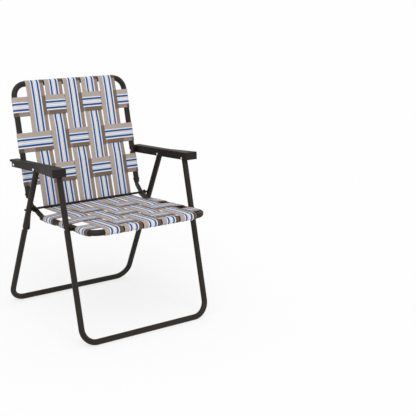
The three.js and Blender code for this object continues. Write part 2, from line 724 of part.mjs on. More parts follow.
function addWebbing() {
  for (let i = 0; i < LONG_COUNT; i++) {
    addPiece(`back_long_strap_${i + 1}`, longStrap(backRun, seatRun, backCrossings, i), wovenPlastic());
    addPiece(`seat_long_strap_${i + 1}`, longStrap(seatRun, backRun, seatCrossings, i), wovenPlastic());
  }
  backCrossings.forEach((place, j) => {
    addPiece(`back_cross_strap_${j + 1}`, crossStrap(place, backFace, j), wovenPlastic());
  });
  seatCrossings.forEach((place, j) => {
    addPiece(`seat_cross_strap_${j + 1}`, crossStrap(place, seatFace, j), wovenPlastic());
  });
}

addLegs();
addRails();
addTangs();
addHingeRod();
addLinks();
addSeatPivots();
addArmrests();
addWebbing();

// The origin is under the middle of the whole chair's box.
const box = new THREE.Box3().setFromObject(chair);
chair.position.y = -(box.min.y + box.max.y) / 2;

export default chair;
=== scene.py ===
"""Looks of a folding webbed lawn chair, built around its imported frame.

Sizes are in millimetres and degrees, and become metres where a mesh is made.
The chair faces -Y, Z is up, and left is -X. A flat point is (y, z) in the side view.
"""

import logging
import math
from dataclasses import asdict, dataclass, field, replace
from enum import Enum
from typing import Sequence

import bmesh
import bpy
import numpy as np
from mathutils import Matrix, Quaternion, Vector

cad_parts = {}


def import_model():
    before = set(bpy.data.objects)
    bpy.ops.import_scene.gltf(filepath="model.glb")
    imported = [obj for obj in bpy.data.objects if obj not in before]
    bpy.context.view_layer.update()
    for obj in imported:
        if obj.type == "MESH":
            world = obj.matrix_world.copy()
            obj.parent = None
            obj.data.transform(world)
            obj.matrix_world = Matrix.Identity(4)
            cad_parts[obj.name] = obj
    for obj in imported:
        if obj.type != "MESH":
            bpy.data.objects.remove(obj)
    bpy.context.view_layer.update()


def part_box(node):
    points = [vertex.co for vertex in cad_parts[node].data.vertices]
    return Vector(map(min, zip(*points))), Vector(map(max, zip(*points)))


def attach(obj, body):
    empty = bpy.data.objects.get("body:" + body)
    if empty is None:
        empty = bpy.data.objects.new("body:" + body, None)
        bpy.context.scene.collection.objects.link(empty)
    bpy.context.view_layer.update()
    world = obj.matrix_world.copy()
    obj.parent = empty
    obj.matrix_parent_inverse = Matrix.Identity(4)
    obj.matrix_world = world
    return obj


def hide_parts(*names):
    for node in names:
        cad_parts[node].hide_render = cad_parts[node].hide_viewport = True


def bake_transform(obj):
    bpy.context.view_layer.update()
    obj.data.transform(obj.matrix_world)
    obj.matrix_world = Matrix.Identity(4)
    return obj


MM = 0.001
MERGE_DISTANCE = 1e-7
SHARP_TURN = 40.0
QUARTER = math.pi / 2
LOG = logging.getLogger("lawn_chair")

Points = np.ndarray
Faces = list[list[int]]
Shell = tuple[Points, Faces]
Colour = tuple[float, float, float, float]
Profile = list[tuple[float, float]]


class Hand(Enum):
    """The chair's two sides, with the sign of X on each."""

    LEFT = -1
    RIGHT = 1

    @property
    def word(self) -> str:
        """The side's name in node names."""
        return self.name.lower()


class Slot(Enum):
    """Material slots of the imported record."""

    COAT = "frame_coat"
    PLASTIC = "black_plastic"
    ZINC = "zinc"
    WEBBING = "webbing"


class Backing(Enum):
    """What lies behind a strap, as the number that its material reads to paint shade on the dark band."""

    NOTHING = 0.0
    STRAP = 1.0
    TUBE = 2.0


def flat(y: float, z: float) -> Points:
    """A point or direction in the side view."""
    return np.array([y, z], float)


def heading(degrees: float) -> Points:
    """The side view's direction that leans from upright towards the rear."""
    return flat(math.sin(math.radians(degrees)), math.cos(math.radians(degrees)))


def unit(way: Points) -> Points:
    """A direction of length 1."""
    return way / np.linalg.norm(way)


def angle_of(way: Points) -> float:
    """A flat direction's angle in radians."""
    return math.atan2(way[1], way[0])


def turn_of(a: Points, b: Points) -> float:
    """The flat cross product of two directions."""
    return float(a[0] * b[1] - a[1] * b[0])


def reach_to_line(start: Points, way: Points, place: Points, line: Points) -> float:
    """The distance from a point, along a direction, to the line through a place."""
    return turn_of(place - start, line) / turn_of(way, line)


def arc(centre: Points, radius: float, start: float, end: float, steps: int) -> list[Points]:
    """Points of a flat arc between two angles in radians, both ends included."""
    angles = np.linspace(start, end, steps + 1)
    return [centre + radius * flat(math.cos(a), math.sin(a)) for a in angles]


def ease(share: float) -> float:
    """A smooth rise from 0 to 1."""
    return share * share * (3 - 2 * share)


def linear(*levels: int) -> Colour:
    """A display colour's red, green and blue, from 0 to 255, as a node's linear colour."""
    shares = [level / 255 for level in levels]
    return (*(s / 12.92 if s <= 0.04045 else ((s + 0.055) / 1.055) ** 2.4 for s in shares), 1.0)


def show(name: str, data: bpy.types.ID) -> bpy.types.Object:
    """A new object in the scene.

    Args:
        name: Its name.
        data: Its mesh, lamp or camera.

    Returns:
        The object.
    """
    made = bpy.data.objects.new(name, data)
    bpy.context.scene.collection.objects.link(made)
    return made


@dataclass
class ChairLayout:
    """Places that the sub-assemblies share, from the same sizes as the frame."""

    tube_radius: float = 10.5
    tube_facets: int = 12
    tube_wall: float = 1.2
    rail_half_width: float = 236.0
    leg_bend: float = 55.0
    back_bend: float = 46.0
    seat_bend: float = 42.0
    side_gap: float = 6.5
    bar_span: float = 544.8
    front_lean: float = 15.59
    rear_lean: float = 22.48
    leg_above_pivot: float = 12.0
    arm_pivot_height: float = 576.8
    arm_slope: float = 4.15
    arm_reach: float = 309.0
    recline: float = 15.06
    back_top_height: float = 833.0
    back_tail: float = 127.0
    seat_pivot_height: float = 396.5
    seat_pitch: float = 4.2
    seat_reach: float = 121.0
    seat_tail: float = 228.0
    hinge_drop: float = 187.6
    rod_radius: float = 4.25
    stop_offset: float = 4.0
    link_pin_drop: float = 258.0
    link_thickness: float = 3.0
    tang_rivet_depth: float = 14.0
    arm_play: float = 0.9
    arm_wall: float = 2.6
    run_gap: float = 0.5
    fit_gap: float = 0.3
    y_shift: float = 0.0

    def __post_init__(self) -> None:
        """Works out directions, pivots and places across the width."""
        self.tube_reach = self.tube_radius / math.cos(math.pi / self.tube_facets)
        self.leg_half_width = self.rail_half_width + 2 * self.tube_radius + self.side_gap
        self.leg_inner = self.leg_half_width - self.tube_reach
        self.leg_outer = self.leg_half_width + self.tube_reach
        self.rail_inner = self.rail_half_width - self.tube_reach
        self.rail_outer = self.rail_half_width + self.tube_reach
        self.link_outer = self.leg_inner - self.run_gap
        self.link_inner = self.link_outer - self.link_thickness
        self.arm_inner = self.leg_inner - self.arm_play - self.arm_wall
        self.arm_outer = self.leg_outer + self.arm_play + self.arm_wall
        self.front_up = heading(self.front_lean)
        self.rear_up = heading(-self.rear_lean)
        self.back_up = heading(self.recline)
        self.back_face = flat(-self.back_up[1], self.back_up[0])
        self.seat_face = heading(self.seat_pitch)
        self.seat_forward = flat(-self.seat_face[1], self.seat_face[0])
        arm_up = heading(self.arm_slope)
        arm_rearward = flat(arm_up[1], -arm_up[0])
        rear_side = flat(self.rear_up[1], -self.rear_up[0])
        self.front_foot = flat(self.y_shift - self.bar_span / 2, self.tube_radius)
        self.rear_foot = flat(self.y_shift + self.bar_span / 2, self.tube_radius)
        self.arm_front_pivot = self.on_front_leg(self.arm_pivot_height)
        self.seat_pivot = self.on_front_leg(self.seat_pivot_height)
        self.arm_mid_reach = reach_to_line(self.arm_front_pivot, arm_rearward, self.rear_foot, self.rear_up)
        self.arm_mid_pivot = self.arm_front_pivot + self.arm_mid_reach * arm_rearward
        self.arm_rear_pivot = self.arm_front_pivot + self.arm_reach * arm_rearward
        stop = self.tube_reach + self.stop_offset
        self.hinge = self.arm_mid_pivot - self.hinge_drop * self.rear_up + stop * rear_side
        self.link_pin = self.arm_mid_pivot - self.link_pin_drop * self.rear_up
        rise = (self.back_top_height - self.arm_rear_pivot[1]) / self.back_up[1]
        self.back_top = self.arm_rear_pivot + rise * self.back_up
        self.back_end = self.arm_rear_pivot - self.back_tail * self.back_up
        self.seat_front = self.seat_pivot + self.seat_reach * self.seat_forward
        self.seat_end = self.seat_pivot - self.seat_tail * self.seat_forward
        self.back_tang_rivet = self.back_end + self.tang_rivet_depth * self.back_up
        self.seat_tang_rivet = self.seat_end + self.tang_rivet_depth * self.seat_forward

    def on_front_leg(self, height: float) -> Points:
        """The point of the front legs' line at a height."""
        reach = (height - self.tube_radius) / self.front_up[1]
        return self.front_foot + reach * self.front_up

    @classmethod
    def around_rod(cls, low: Vector, high: Vector) -> "ChairLayout":
        """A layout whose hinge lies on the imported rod, given the rod's two corners in metres."""
        rod_y = (low.y + high.y) / 2 / MM
        return cls(y_shift=rod_y - cls().hinge[0])


class MeshKit:
    """Closed meshes from rings of points."""

    EDGE_TURNS = (0, 30, 60, 90)

    @staticmethod
    def stack(rings: Sequence[Points], closed: bool = False) -> Shell:
        """Joins rings of equal count, end to end.

        Args:
            rings: Rings of (x, y, z) points.
            closed: Whether the last ring joins the first. Otherwise both ends are capped.

        Returns:
            Points and faces.
        """
        count = len(rings[0])
        faces: Faces = []
        pairs = [(i, i + 1) for i in range(len(rings) - 1)]
        if closed:
            pairs.append((len(rings) - 1, 0))
        for a, b in pairs:
            for k in range(count):
                n = (k + 1) % count
                faces.append([a * count + k, a * count + n, b * count + n, b * count + k])
        if not closed:
            faces.append(list(range(count - 1, -1, -1)))
            faces.append([(len(rings) - 1) * count + k for k in range(count)])
        return np.concatenate(rings), faces

    @staticmethod
    def turned(profile: Profile, place: Points, sides: int, closed: bool = False) -> Shell:
        """A turned piece along X.

        Args:
            profile: Pairs of radius and X.
            place: The axis in the side view.
            sides: The number of sides.
            closed: Whether the profile is a closed loop, as a ring's is.

        Returns:
            Points and faces.
        """
        angles = np.linspace(0, math.tau, sides, endpoint=False)
        circle = np.stack([np.cos(angles), np.sin(angles)], axis=1)
        rings = [np.column_stack([np.full(sides, x), place + radius * circle]) for radius, x in profile]
        return MeshKit.stack(rings, closed)

    @staticmethod
    def rounded(corners: Sequence[Points], radii: Sequence[float], steps: int = 10) -> Points:
        """A closed flat outline whose corners are rounded.

        Args:
            corners: The outline's corners.
            radii: A tangent length for each corner.
            steps: Stretches in each rounded corner.

        Returns:
            The outline's points.
        """
        outline = []
        for i, corner in enumerate(corners):
            start = corner + unit(corners[i - 1] - corner) * radii[i]
            end = corner + unit(corners[(i + 1) % len(corners)] - corner) * radii[i]
            for t in np.linspace(0, 1, steps + 1):
                outline.append((1 - t) ** 2 * start + 2 * t * (1 - t) * corner + t * t * end)
        return np.array(outline)

    @staticmethod
    def inset(outline: Points, distance: float | Points) -> Points:
        """A closed flat outline drawn in along its normals.

        Args:
            outline: Points that run anticlockwise.
            distance: How far to draw it in, for all points or for each.

        Returns:
            The new outline.
        """
        after = np.roll(outline, -1, axis=0) - outline
        after /= np.linalg.norm(after, axis=1)[:, None]
        way = after + np.roll(after, 1, axis=0)
        way /= np.linalg.norm(way, axis=1)[:, None]
        normal = np.stack([-way[:, 1], way[:, 0]], axis=1)
        return outline + np.reshape(distance, (-1, 1)) * normal

    @staticmethod
    def plate(outline: Points, low: float, high: float, edge: float) -> list[Points]:
        """The rings of a plate across X with rounded edges.

        Args:
            outline: The plate's outline in its own plane, anticlockwise.
            low: The X of its face nearer the middle.
            high: The X of its other face.
            edge: The radius of its edges.

        Returns:
            Rings of (x, first, second) points.
        """
        angles = [math.radians(a) for a in MeshKit.EDGE_TURNS]
        lower = [(edge * (1 - math.sin(a)), low + edge * (1 - math.cos(a))) for a in angles]
        upper = [(d, high - (x - low)) for d, x in reversed(lower)]
        count = len(outline)
        return [np.column_stack([np.full(count, x), MeshKit.inset(outline, d)]) for d, x in lower + upper]

    @staticmethod
    def piece(name: str, shell: Shell, material: bpy.types.Material, sharp: float) -> bpy.types.Object:
        """A closed mesh object in its place, facing out.

        Args:
            name: The piece's name.
            shell: Points in millimetres, and faces.
            material: Its material.
            sharp: Edges that turn by more degrees than this stay sharp.

        Returns:
            The object, linked to the scene.
        """
        mesh = bpy.data.meshes.new(name)
        mesh.from_pydata((shell[0] * MM).tolist(), [], shell[1])
        work = bmesh.new()
        work.from_mesh(mesh)
        bmesh.ops.remove_doubles(work, verts=work.verts, dist=MERGE_DISTANCE)
        bmesh.ops.recalc_face_normals(work, faces=work.faces)
        work.to_mesh(mesh)
        work.free()
        mesh.shade_smooth()
        mesh.set_sharp_from_angle(angle=math.radians(sharp))
        mesh.materials.append(material)
        return show(name, mesh)

    @staticmethod
    def merged(a: Shell, b: Shell) -> Shell:
        """Two meshes as one list of points and faces."""
        moved = [[len(a[0]) + k for k in face] for face in b[1]]
        return np.concatenate([a[0], b[0]]), a[1] + moved


def settle(piece: bpy.types.Object, body: str, slot: Slot, *nodes: str) -> None:
    """Puts a finished piece on its body, in place of frame nodes.

    Args:
        piece: The piece.
        body: The body that it rides on.
        slot: Its material slot. Not used.
        *nodes: The nodes that it stands for.
    """
    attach(piece, body)
    if nodes:
        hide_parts(*nodes)
    LOG.info("%s on %s: %d faces", piece.name, body, len(piece.data.polygons))


class NodeSketch:
    """Short calls to add and join nodes."""

    MIX_A = 6
    MIX_B = 7
    MIX_RESULT = 2
    SHADER_A = 1
    SHADER_B = 2

    def __init__(self, tree: bpy.types.NodeTree) -> None:
        """Keeps the tree that is drawn on."""
        self.tree = tree

    def feed(self, node: bpy.types.Node, feeds: dict[str | int, object]) -> None:
        """Gives a node's inputs a link or a plain value each.

        Args:
            node: The node.
            feeds: An output or a value for inputs, by name or number.
        """
        for key, value in feeds.items():
            if isinstance(value, bpy.types.NodeSocket):
                self.tree.links.new(value, node.inputs[key])
            else:
                node.inputs[key].default_value = value

    def add(self, kind: str, feeds: dict[str | int, object], **values: object) -> bpy.types.Node:
        """A new node.

        Args:
            kind: The node's type.
            feeds: An output or a value for inputs, by name or number.
            **values: The node's own properties.

        Returns:
            The node.
        """
        node = self.tree.nodes.new(kind)
        for key, value in values.items():
            setattr(node, key, value)
        self.feed(node, feeds)
        return node

    def math(self, operation: str, *values: object) -> bpy.types.NodeSocket:
        """A Math node's output."""
        return self.add("ShaderNodeMath", dict(enumerate(values)), operation=operation).outputs[0]

    def mix(self, share: object, a: object, b: object) -> bpy.types.NodeSocket:
        """A mix of two colours."""
        feeds = {"Factor": share, self.MIX_A: a, self.MIX_B: b}
        return self.add("ShaderNodeMix", feeds, data_type="RGBA").outputs[self.MIX_RESULT]

    def band(self, value: object, low: object, high: object) -> bpy.types.NodeSocket:
        """A value's place between two limits, from 0 to 1."""
        feeds = {"Value": value, "From Min": low, "From Max": high}
        return self.add("ShaderNodeMapRange", feeds, clamp=True).outputs["Result"]


@dataclass
class SharedEffects:
    """Shader node groups that more than one material uses."""

    fine_detail: float = 2.0
    patch_detail: float = 4.0
    scuff_stretch: tuple[float, float, float] = (60.0, 420.0, 60.0)
    scuff_detail: float = 3.0
    scuff_limits: tuple[float, float] = (0.66, 0.78)
    brick_shift: float = 0.5
    knuckle_share: float = 0.55
    ridge_power: float = 0.6
    furrow_limits: tuple[float, float] = (0.05, 0.5)

    def __post_init__(self) -> None:
        """Builds the groups."""
        self.grain = self.build_grain()
        self.tape = self.build_tape()

    @staticmethod
    def new_group(
        name: str, inputs: Sequence[str], outputs: Sequence[str]
    ) -> tuple[NodeSketch, bpy.types.bpy_prop_collection, bpy.types.Node]:
        """An empty group that takes a Vector and numbers, and gives numbers.

        Args:
            name: The group's name.
            inputs: Names of the numbers that it takes.
            outputs: Names of the numbers that it gives.

        Returns:
            The sketch on it, what it takes by name, and its output node.
        """
        group = bpy.data.node_groups.new(name, "ShaderNodeTree")
        group.interface.new_socket("Vector", in_out="INPUT", socket_type="NodeSocketVector")
        for way, keys in (("INPUT", inputs), ("OUTPUT", outputs)):
            for key in keys:
                group.interface.new_socket(key, in_out=way, socket_type="NodeSocketFloat")
        sketch = NodeSketch(group)
        return sketch, sketch.add("NodeGroupInput", {}).outputs, sketch.add("NodeGroupOutput", {})

    def build_grain(self) -> bpy.types.NodeTree:
        """Fine grain, soft patches and sparse scuffs on a hard surface.

        Returns:
            The group.
        """
        sketch, given, made = self.new_group(
            "surface_grain", ("Grain Scale", "Patch Scale", "Scuff Amount"), ("Grain", "Patches", "Scuffs")
        )
        place = given["Vector"]
        stretch = sketch.add("ShaderNodeMapping", {"Vector": place, "Scale": self.scuff_stretch})
        noises = []
        for where, scale, detail in (
            (place, given["Grain Scale"], self.fine_detail),
            (place, given["Patch Scale"], self.patch_detail),
            (stretch.outputs["Vector"], 1.0, self.scuff_detail),
        ):
            feeds = {"Vector": where, "Scale": scale, "Detail": detail}
            noises.append(sketch.add("ShaderNodeTexNoise", feeds).outputs["Fac"])
        marks = sketch.math("MULTIPLY", sketch.band(noises[2], *self.scuff_limits), given["Scuff Amount"])
        sketch.feed(made, {"Grain": noises[0], "Patches": noises[1], "Scuffs": marks})
        return sketch.tree

    def build_tape(self) -> bpy.types.NodeTree:
        """The yarns of a woven tape, across its width and along its length.

        Returns:
            The group.
        """
        outputs = ("Height", "Yarn Tone", "Furrow")
        sketch, given, made = self.new_group("woven_tape", ("Yarns", "Picks"), outputs)
        parts = sketch.add("ShaderNodeSeparateXYZ", {"Vector": given["Vector"]}).outputs
        across = sketch.math("MULTIPLY", parts["X"], given["Yarns"])
        along = sketch.math("MULTIPLY", parts["Y"], given["Picks"])
        yarn = sketch.math("FLOOR", across)
        odd = sketch.math("MULTIPLY", sketch.math("MODULO", yarn, 2.0), self.brick_shift)
        ridge = sketch.math("ABSOLUTE", sketch.math("SINE", sketch.math("MULTIPLY", across, math.pi)))
        shifted = sketch.math("MULTIPLY", sketch.math("ADD", along, odd), math.pi)
        knuckle = sketch.math("ABSOLUTE", sketch.math("SINE", shifted))
        rise = sketch.math("MULTIPLY_ADD", knuckle, self.knuckle_share, 1 - self.knuckle_share)
        height = sketch.math("MULTIPLY", sketch.math("POWER", ridge, self.ridge_power), rise)
        tone = sketch.add("ShaderNodeTexWhiteNoise", {"W": yarn}, noise_dimensions="1D").outputs["Value"]
        furrow = sketch.math("SUBTRACT", 1.0, sketch.band(height, *self.furrow_limits))
        sketch.feed(made, {"Height": height, "Yarn Tone": tone, "Furrow": furrow})
        return sketch.tree


def new_material(name: str) -> tuple[bpy.types.Material, NodeSketch, bpy.types.Node]:
    """A new material with nodes.

    Args:
        name: Its name.

    Returns:
        The material, a sketch on its tree, and its main shader.
    """
    material = bpy.data.materials.new(name)
    material.use_nodes = True
    return material, NodeSketch(material.node_tree), material.node_tree.nodes["Principled BSDF"]


@dataclass(frozen=True)
class HardFinish:
    """A hard surface: coated steel, moulded plastic or plated steel."""

    name: str
    colour: Colour
    lighter: Colour
    roughness: tuple[float, float]
    metallic: float
    grain_scale: float
    grain_depth: float
    patch_scale: float
    scuffs: float
    specular: float = 0.5
    patch_limits: tuple[float, float] = (0.35, 0.7)

    def build(self, effects: SharedEffects) -> bpy.types.Material:
        """Draws the material.

        Args:
            effects: The shared node groups.

        Returns:
            The material.
        """
        material, sketch, shader = new_material(self.name)
        settings = {
            "Vector": sketch.add("ShaderNodeTexCoord", {}).outputs["Object"],
            "Grain Scale": self.grain_scale,
            "Patch Scale": self.patch_scale,
            "Scuff Amount": self.scuffs,
        }
        grain = sketch.add("ShaderNodeGroup", settings, node_tree=effects.grain).outputs
        toned = sketch.mix(sketch.band(grain["Patches"], *self.patch_limits), self.colour, self.lighter)
        low, high = self.roughness
        relief = {"Strength": 1.0, "Distance": self.grain_depth * MM, "Height": grain["Grain"]}
        sketch.feed(shader, {
            "Base Color": sketch.mix(grain["Scuffs"], toned, self.lighter),
            "Roughness": sketch.math("MULTIPLY_ADD", grain["Grain"], high - low, low),
            "Normal": sketch.add("ShaderNodeBump", relief).outputs["Normal"],
            "Metallic": self.metallic,
            "Specular IOR Level": self.specular,
        })
        return material


@dataclass(frozen=True)
class WebbingFinish:
    """Striped woven tape. Its dark band carries painted shade where a strap or a tube lies behind it,
    standing in for the light that shines through the thin weave where nothing does.
    """

    name: str = "striped_webbing"
    beige: Colour = linear(178, 165, 155)
    white: Colour = linear(240, 240, 237)
    pin: Colour = linear(202, 203, 203)
    blue: Colour = linear(0, 77, 156)
    # The dark band's tone with nothing behind it, then its painted shade over a strap and over a tube.
    brown_single: Colour = linear(151, 135, 126)
    brown_backed: Colour = linear(118, 100, 86)
    brown_on_tube: Colour = linear(96, 80, 70)
    beige_end: float = 0.26
    first_white_end: float = 0.31
    first_blue_end: float = 0.413
    middle_end: float = 0.617
    second_blue_end: float = 0.72
    second_white_end: float = 0.78
    stripe_blur: float = 0.004
    pin_count: float = 2.0
    pin_limits: tuple[float, float] = (-0.6, 0.2)
    yarns: float = 46.0
    picks: float = 34.0
    yarn_depth: float = 0.22
    tone_low: float = 0.9
    tone_spread: float = 0.16
    furrow_shade: float = 0.18
    roughness: float = 0.8
    height_gloss: float = 0.15
    specular: float = 0.3

    def stripes(self, sketch: NodeSketch, across: object, brown: object) -> object:
        """The colour bands across the tape.

        Args:
            sketch: The material's sketch.
            across: The place across the tape, from 0 to 1.
            brown: The colour of the dark band.

        Returns:
            The colour output.
        """
        share = sketch.band(across, self.first_blue_end, self.middle_end)
        wave = sketch.math("COSINE", sketch.math("MULTIPLY", share, math.tau * self.pin_count))
        middle = sketch.mix(sketch.band(wave, *self.pin_limits), self.pin, self.white)
        colour: object = self.beige
        for start, tint in (
            (self.beige_end, self.white),
            (self.first_white_end, self.blue),
            (self.first_blue_end, middle),
            (self.middle_end, self.blue),
            (self.second_blue_end, self.white),
            (self.second_white_end, brown),
        ):
            step = sketch.band(across, start - self.stripe_blur, start + self.stripe_blur)
            colour = sketch.mix(step, colour, tint)
        return colour

    def build(self, effects: SharedEffects) -> bpy.types.Material:
        """Draws the material.

        Args:
            effects: The shared node groups.

        Returns:
            The material.
        """
        material, sketch, shader = new_material(self.name)
        chart = sketch.add("ShaderNodeUVMap", {}, uv_map="UVMap").outputs["UV"]
        across = sketch.add("ShaderNodeSeparateXYZ", {"Vector": chart}).outputs["X"]
        backed = sketch.add("ShaderNodeAttribute", {}, attribute_name="backed").outputs["Fac"]
        # Painted shade: the dark band is darker over a strap and darker still over a tube, where no light
        # comes through from behind.
        levels = [level.value for level in Backing]
        brown = self.brown_single
        for low, high, tint in zip(levels, levels[1:], (self.brown_backed, self.brown_on_tube)):
            brown = sketch.mix(sketch.band(backed, low, high), brown, tint)
        colour = self.stripes(sketch, across, brown)
        settings = {"Vector": chart, "Yarns": self.yarns, "Picks": self.picks}
        tape = sketch.add("ShaderNodeGroup", settings, node_tree=effects.tape).outputs
        lit = sketch.math("MULTIPLY_ADD", tape["Yarn Tone"], self.tone_spread, self.tone_low)
        shade = sketch.math("MULTIPLY_ADD", tape["Furrow"], -self.furrow_shade, 1.0)
        dimmed = {"Value": sketch.math("MULTIPLY", lit, shade), "Color": colour}
        relief = {"Distance": self.yarn_depth * MM, "Height": tape["Height"]}
        sketch.feed(shader, {
            "Base Color": sketch.add("ShaderNodeHueSaturation", dimmed).outputs["Color"],
            "Roughness": sketch.math("MULTIPLY_ADD", tape["Height"], -self.height_gloss, self.roughness),
            "Normal": sketch.add("ShaderNodeBump", relief).outputs["Normal"],
            "Specular IOR Level": self.specular,
        })
        return material


@dataclass
class Finishes:
    """Every material of the chair."""

    coat: HardFinish = HardFinish(
        name="satin_coat",
        colour=linear(26, 20, 14),
        lighter=linear(33, 27, 20),
        roughness=(0.4, 0.58),
        metallic=0.0,
        grain_scale=1400.0,
        grain_depth=0.05,
        patch_scale=22.0,
        scuffs=0.25,
        specular=0.27,
    )
    plastic: HardFinish = HardFinish(
        name="black_moulded_plastic",
        colour=linear(23, 17, 11),
        lighter=linear(29, 23, 16),
        roughness=(0.45, 0.65),
        metallic=0.0,
        grain_scale=1100.0,
        grain_depth=0.09,
        patch_scale=14.0,
        scuffs=0.2,
        specular=0.24,
    )
    zinc: HardFinish = HardFinish(
        name="bright_zinc",
        colour=linear(232, 232, 230),
        lighter=linear(246, 246, 245),
        roughness=(0.22, 0.38),
        metallic=1.0,
        grain_scale=700.0,
        grain_depth=0.02,
        patch_scale=60.0,
        scuffs=0.3,
    )
    webbing: WebbingFinish = WebbingFinish()

    def build(self) -> dict[Slot, bpy.types.Material]:
        """Draws all materials and gives them by slot."""
        effects = SharedEffects()
        return {slot: getattr(self, slot.name.lower()).build(effects) for slot in Slot}


@dataclass
class SubAssembly:
    """Pieces that belong together and take their places from the layout."""

    layout: ChairLayout
    materials: dict[Slot, bpy.types.Material]

    def put(
        self, name: str, node: str, body: str, slot: Slot, shell: Shell, sharp: float = SHARP_TURN
    ) -> None:
        """Makes one piece in place of a frame node.

        Args:
            name: The piece's name.
            node: The node that it stands for.
            body: The body that it rides on.
            slot: Its material slot.
            shell: Its points and faces.
            sharp: Edges that turn by more degrees than this stay sharp.
        """
        settle(MeshKit.piece(name, shell, self.materials[slot], sharp), body, slot, node)

    def put_pair(
        self, name: str, node: str, body: str, slot: Slot, shell: Shell, sharp: float = SHARP_TURN
    ) -> None:
        """Makes a piece on both sides, each in place of a frame node.

        Args:
            name: The pieces' name, to which the side's is added.
            node: The nodes' name, to which the side's is added.
            body: The body that they ride on.
            slot: Their material slot.
            shell: The right one's points and faces.
            sharp: Edges that turn by more degrees than this stay sharp.
        """
        for hand in Hand:
            sided = (shell[0] * (hand.value, 1, 1), shell[1])
            self.put(f"{name}_{hand.word}", f"{node}_{hand.word}", body, slot, sided, sharp)


@dataclass
class TubeFrame:
    """A U of round tube: two straight sides, two bends and the bar between them."""

    half_width: float
    far: Points
    end: Points
    bend: float
    radius: float
    wall: float
    sides: int = 32
    bend_steps: int = 20
    lip: float = 0.5

    def path(self) -> list[tuple[float, float, float, float]]:
        """The tube's centre-line from the left end to the right.

        Returns:
            Its X, distance from the far bar, and direction in both, point by point.
        """
        length = float(np.linalg.norm(self.end - self.far))
        centre = self.half_width - self.bend
        line = [(-self.half_width, length - d, 0.0, -1.0) for d in (0.0, self.lip)]
        for middle, start in ((-centre, math.pi), (centre, math.pi + QUARTER)):
            for a in np.linspace(start, start + QUARTER, self.bend_steps + 1):
                distance = self.bend + self.bend * math.sin(a)
                line.append((middle + self.bend * math.cos(a), distance, -math.sin(a), math.cos(a)))
        return line + [(self.half_width, length - d, 0.0, 1.0) for d in (self.lip, 0.0)]

    def rings(self, radius: float, lip: float) -> list[Points]:
        """Rings of the tube's wall.

        Args:
            radius: Their radius.
            lip: How much wider they are at the two ends.

        Returns:
            The rings from the left end to the right.
        """
        up = unit(self.end - self.far)
        normal = np.array([0.0, -up[1], up[0]])
        angles = np.linspace(0, math.tau, self.sides, endpoint=False)
        line = self.path()
        rings = []
        for i, (x, distance, across, along) in enumerate(line):
            place = np.array([x, *(self.far + distance * up)])
            side = np.cross(np.array([across, *(along * up)]), normal)
            reach = radius + (lip if i in (0, len(line) - 1) else 0.0)
            rings.append(place + reach * (np.outer(np.cos(angles), normal) + np.outer(np.sin(angles), side)))
        return rings

    def shell(self) -> Shell:
        """The tube with its wall and open ends."""
        inner = self.rings(self.radius - self.wall, self.lip / 2)
        return MeshKit.stack(self.rings(self.radius, -self.lip) + inner[::-1], closed=True)


@dataclass
class FrameTubes(SubAssembly):
    """The four bent tubes."""

    def build(self) -> None:
        """Makes the tubes of legs, back and seat."""
        lay = self.layout
        front_end = lay.arm_front_pivot + lay.leg_above_pivot * lay.front_up
        rear_end = lay.arm_mid_pivot + lay.leg_above_pivot * lay.rear_up
        for stem, body, half_width, far, end, bend in (
            ("front_leg", "front_legs", lay.leg_half_width, lay.front_foot, front_end, lay.leg_bend),
            ("rear_leg", "rear_legs", lay.leg_half_width, lay.rear_foot, rear_end, lay.leg_bend),
            ("back", "back", lay.rail_half_width, lay.back_top, lay.back_end, lay.back_bend),
            ("seat", "seat", lay.rail_half_width, lay.seat_front, lay.seat_end, lay.seat_bend),
        ):
            tube = TubeFrame(half_width, far, end, bend, lay.tube_radius, lay.tube_wall)
            self.put(f"{stem}_tube", f"{stem}_frame", body, Slot.COAT, tube.shell())


@dataclass(frozen=True)
class PivotRing:
    """A plastic ring or sleeve at a pivot."""

    radius: float
    bore: float
    sides: int = 32
    chamfer: float = 0.5

    def shell(self, place: Points, low: float, high: float) -> Shell:
        """The ring between two places across the width.

        Args:
            place: The pivot in the side view.
            low: The X of its end nearer the middle.
            high: The X of its other end.

        Returns:
            Points and faces.
        """
        half = [(self.bore, 0.0), (self.radius - self.chamfer, 0.0), (self.radius, self.chamfer)]
        rising = [(radius, low + step) for radius, step in half]
        falling = [(radius, high - step) for radius, step in reversed(half)]
        return MeshKit.turned(rising + falling, place, self.sides, closed=True)


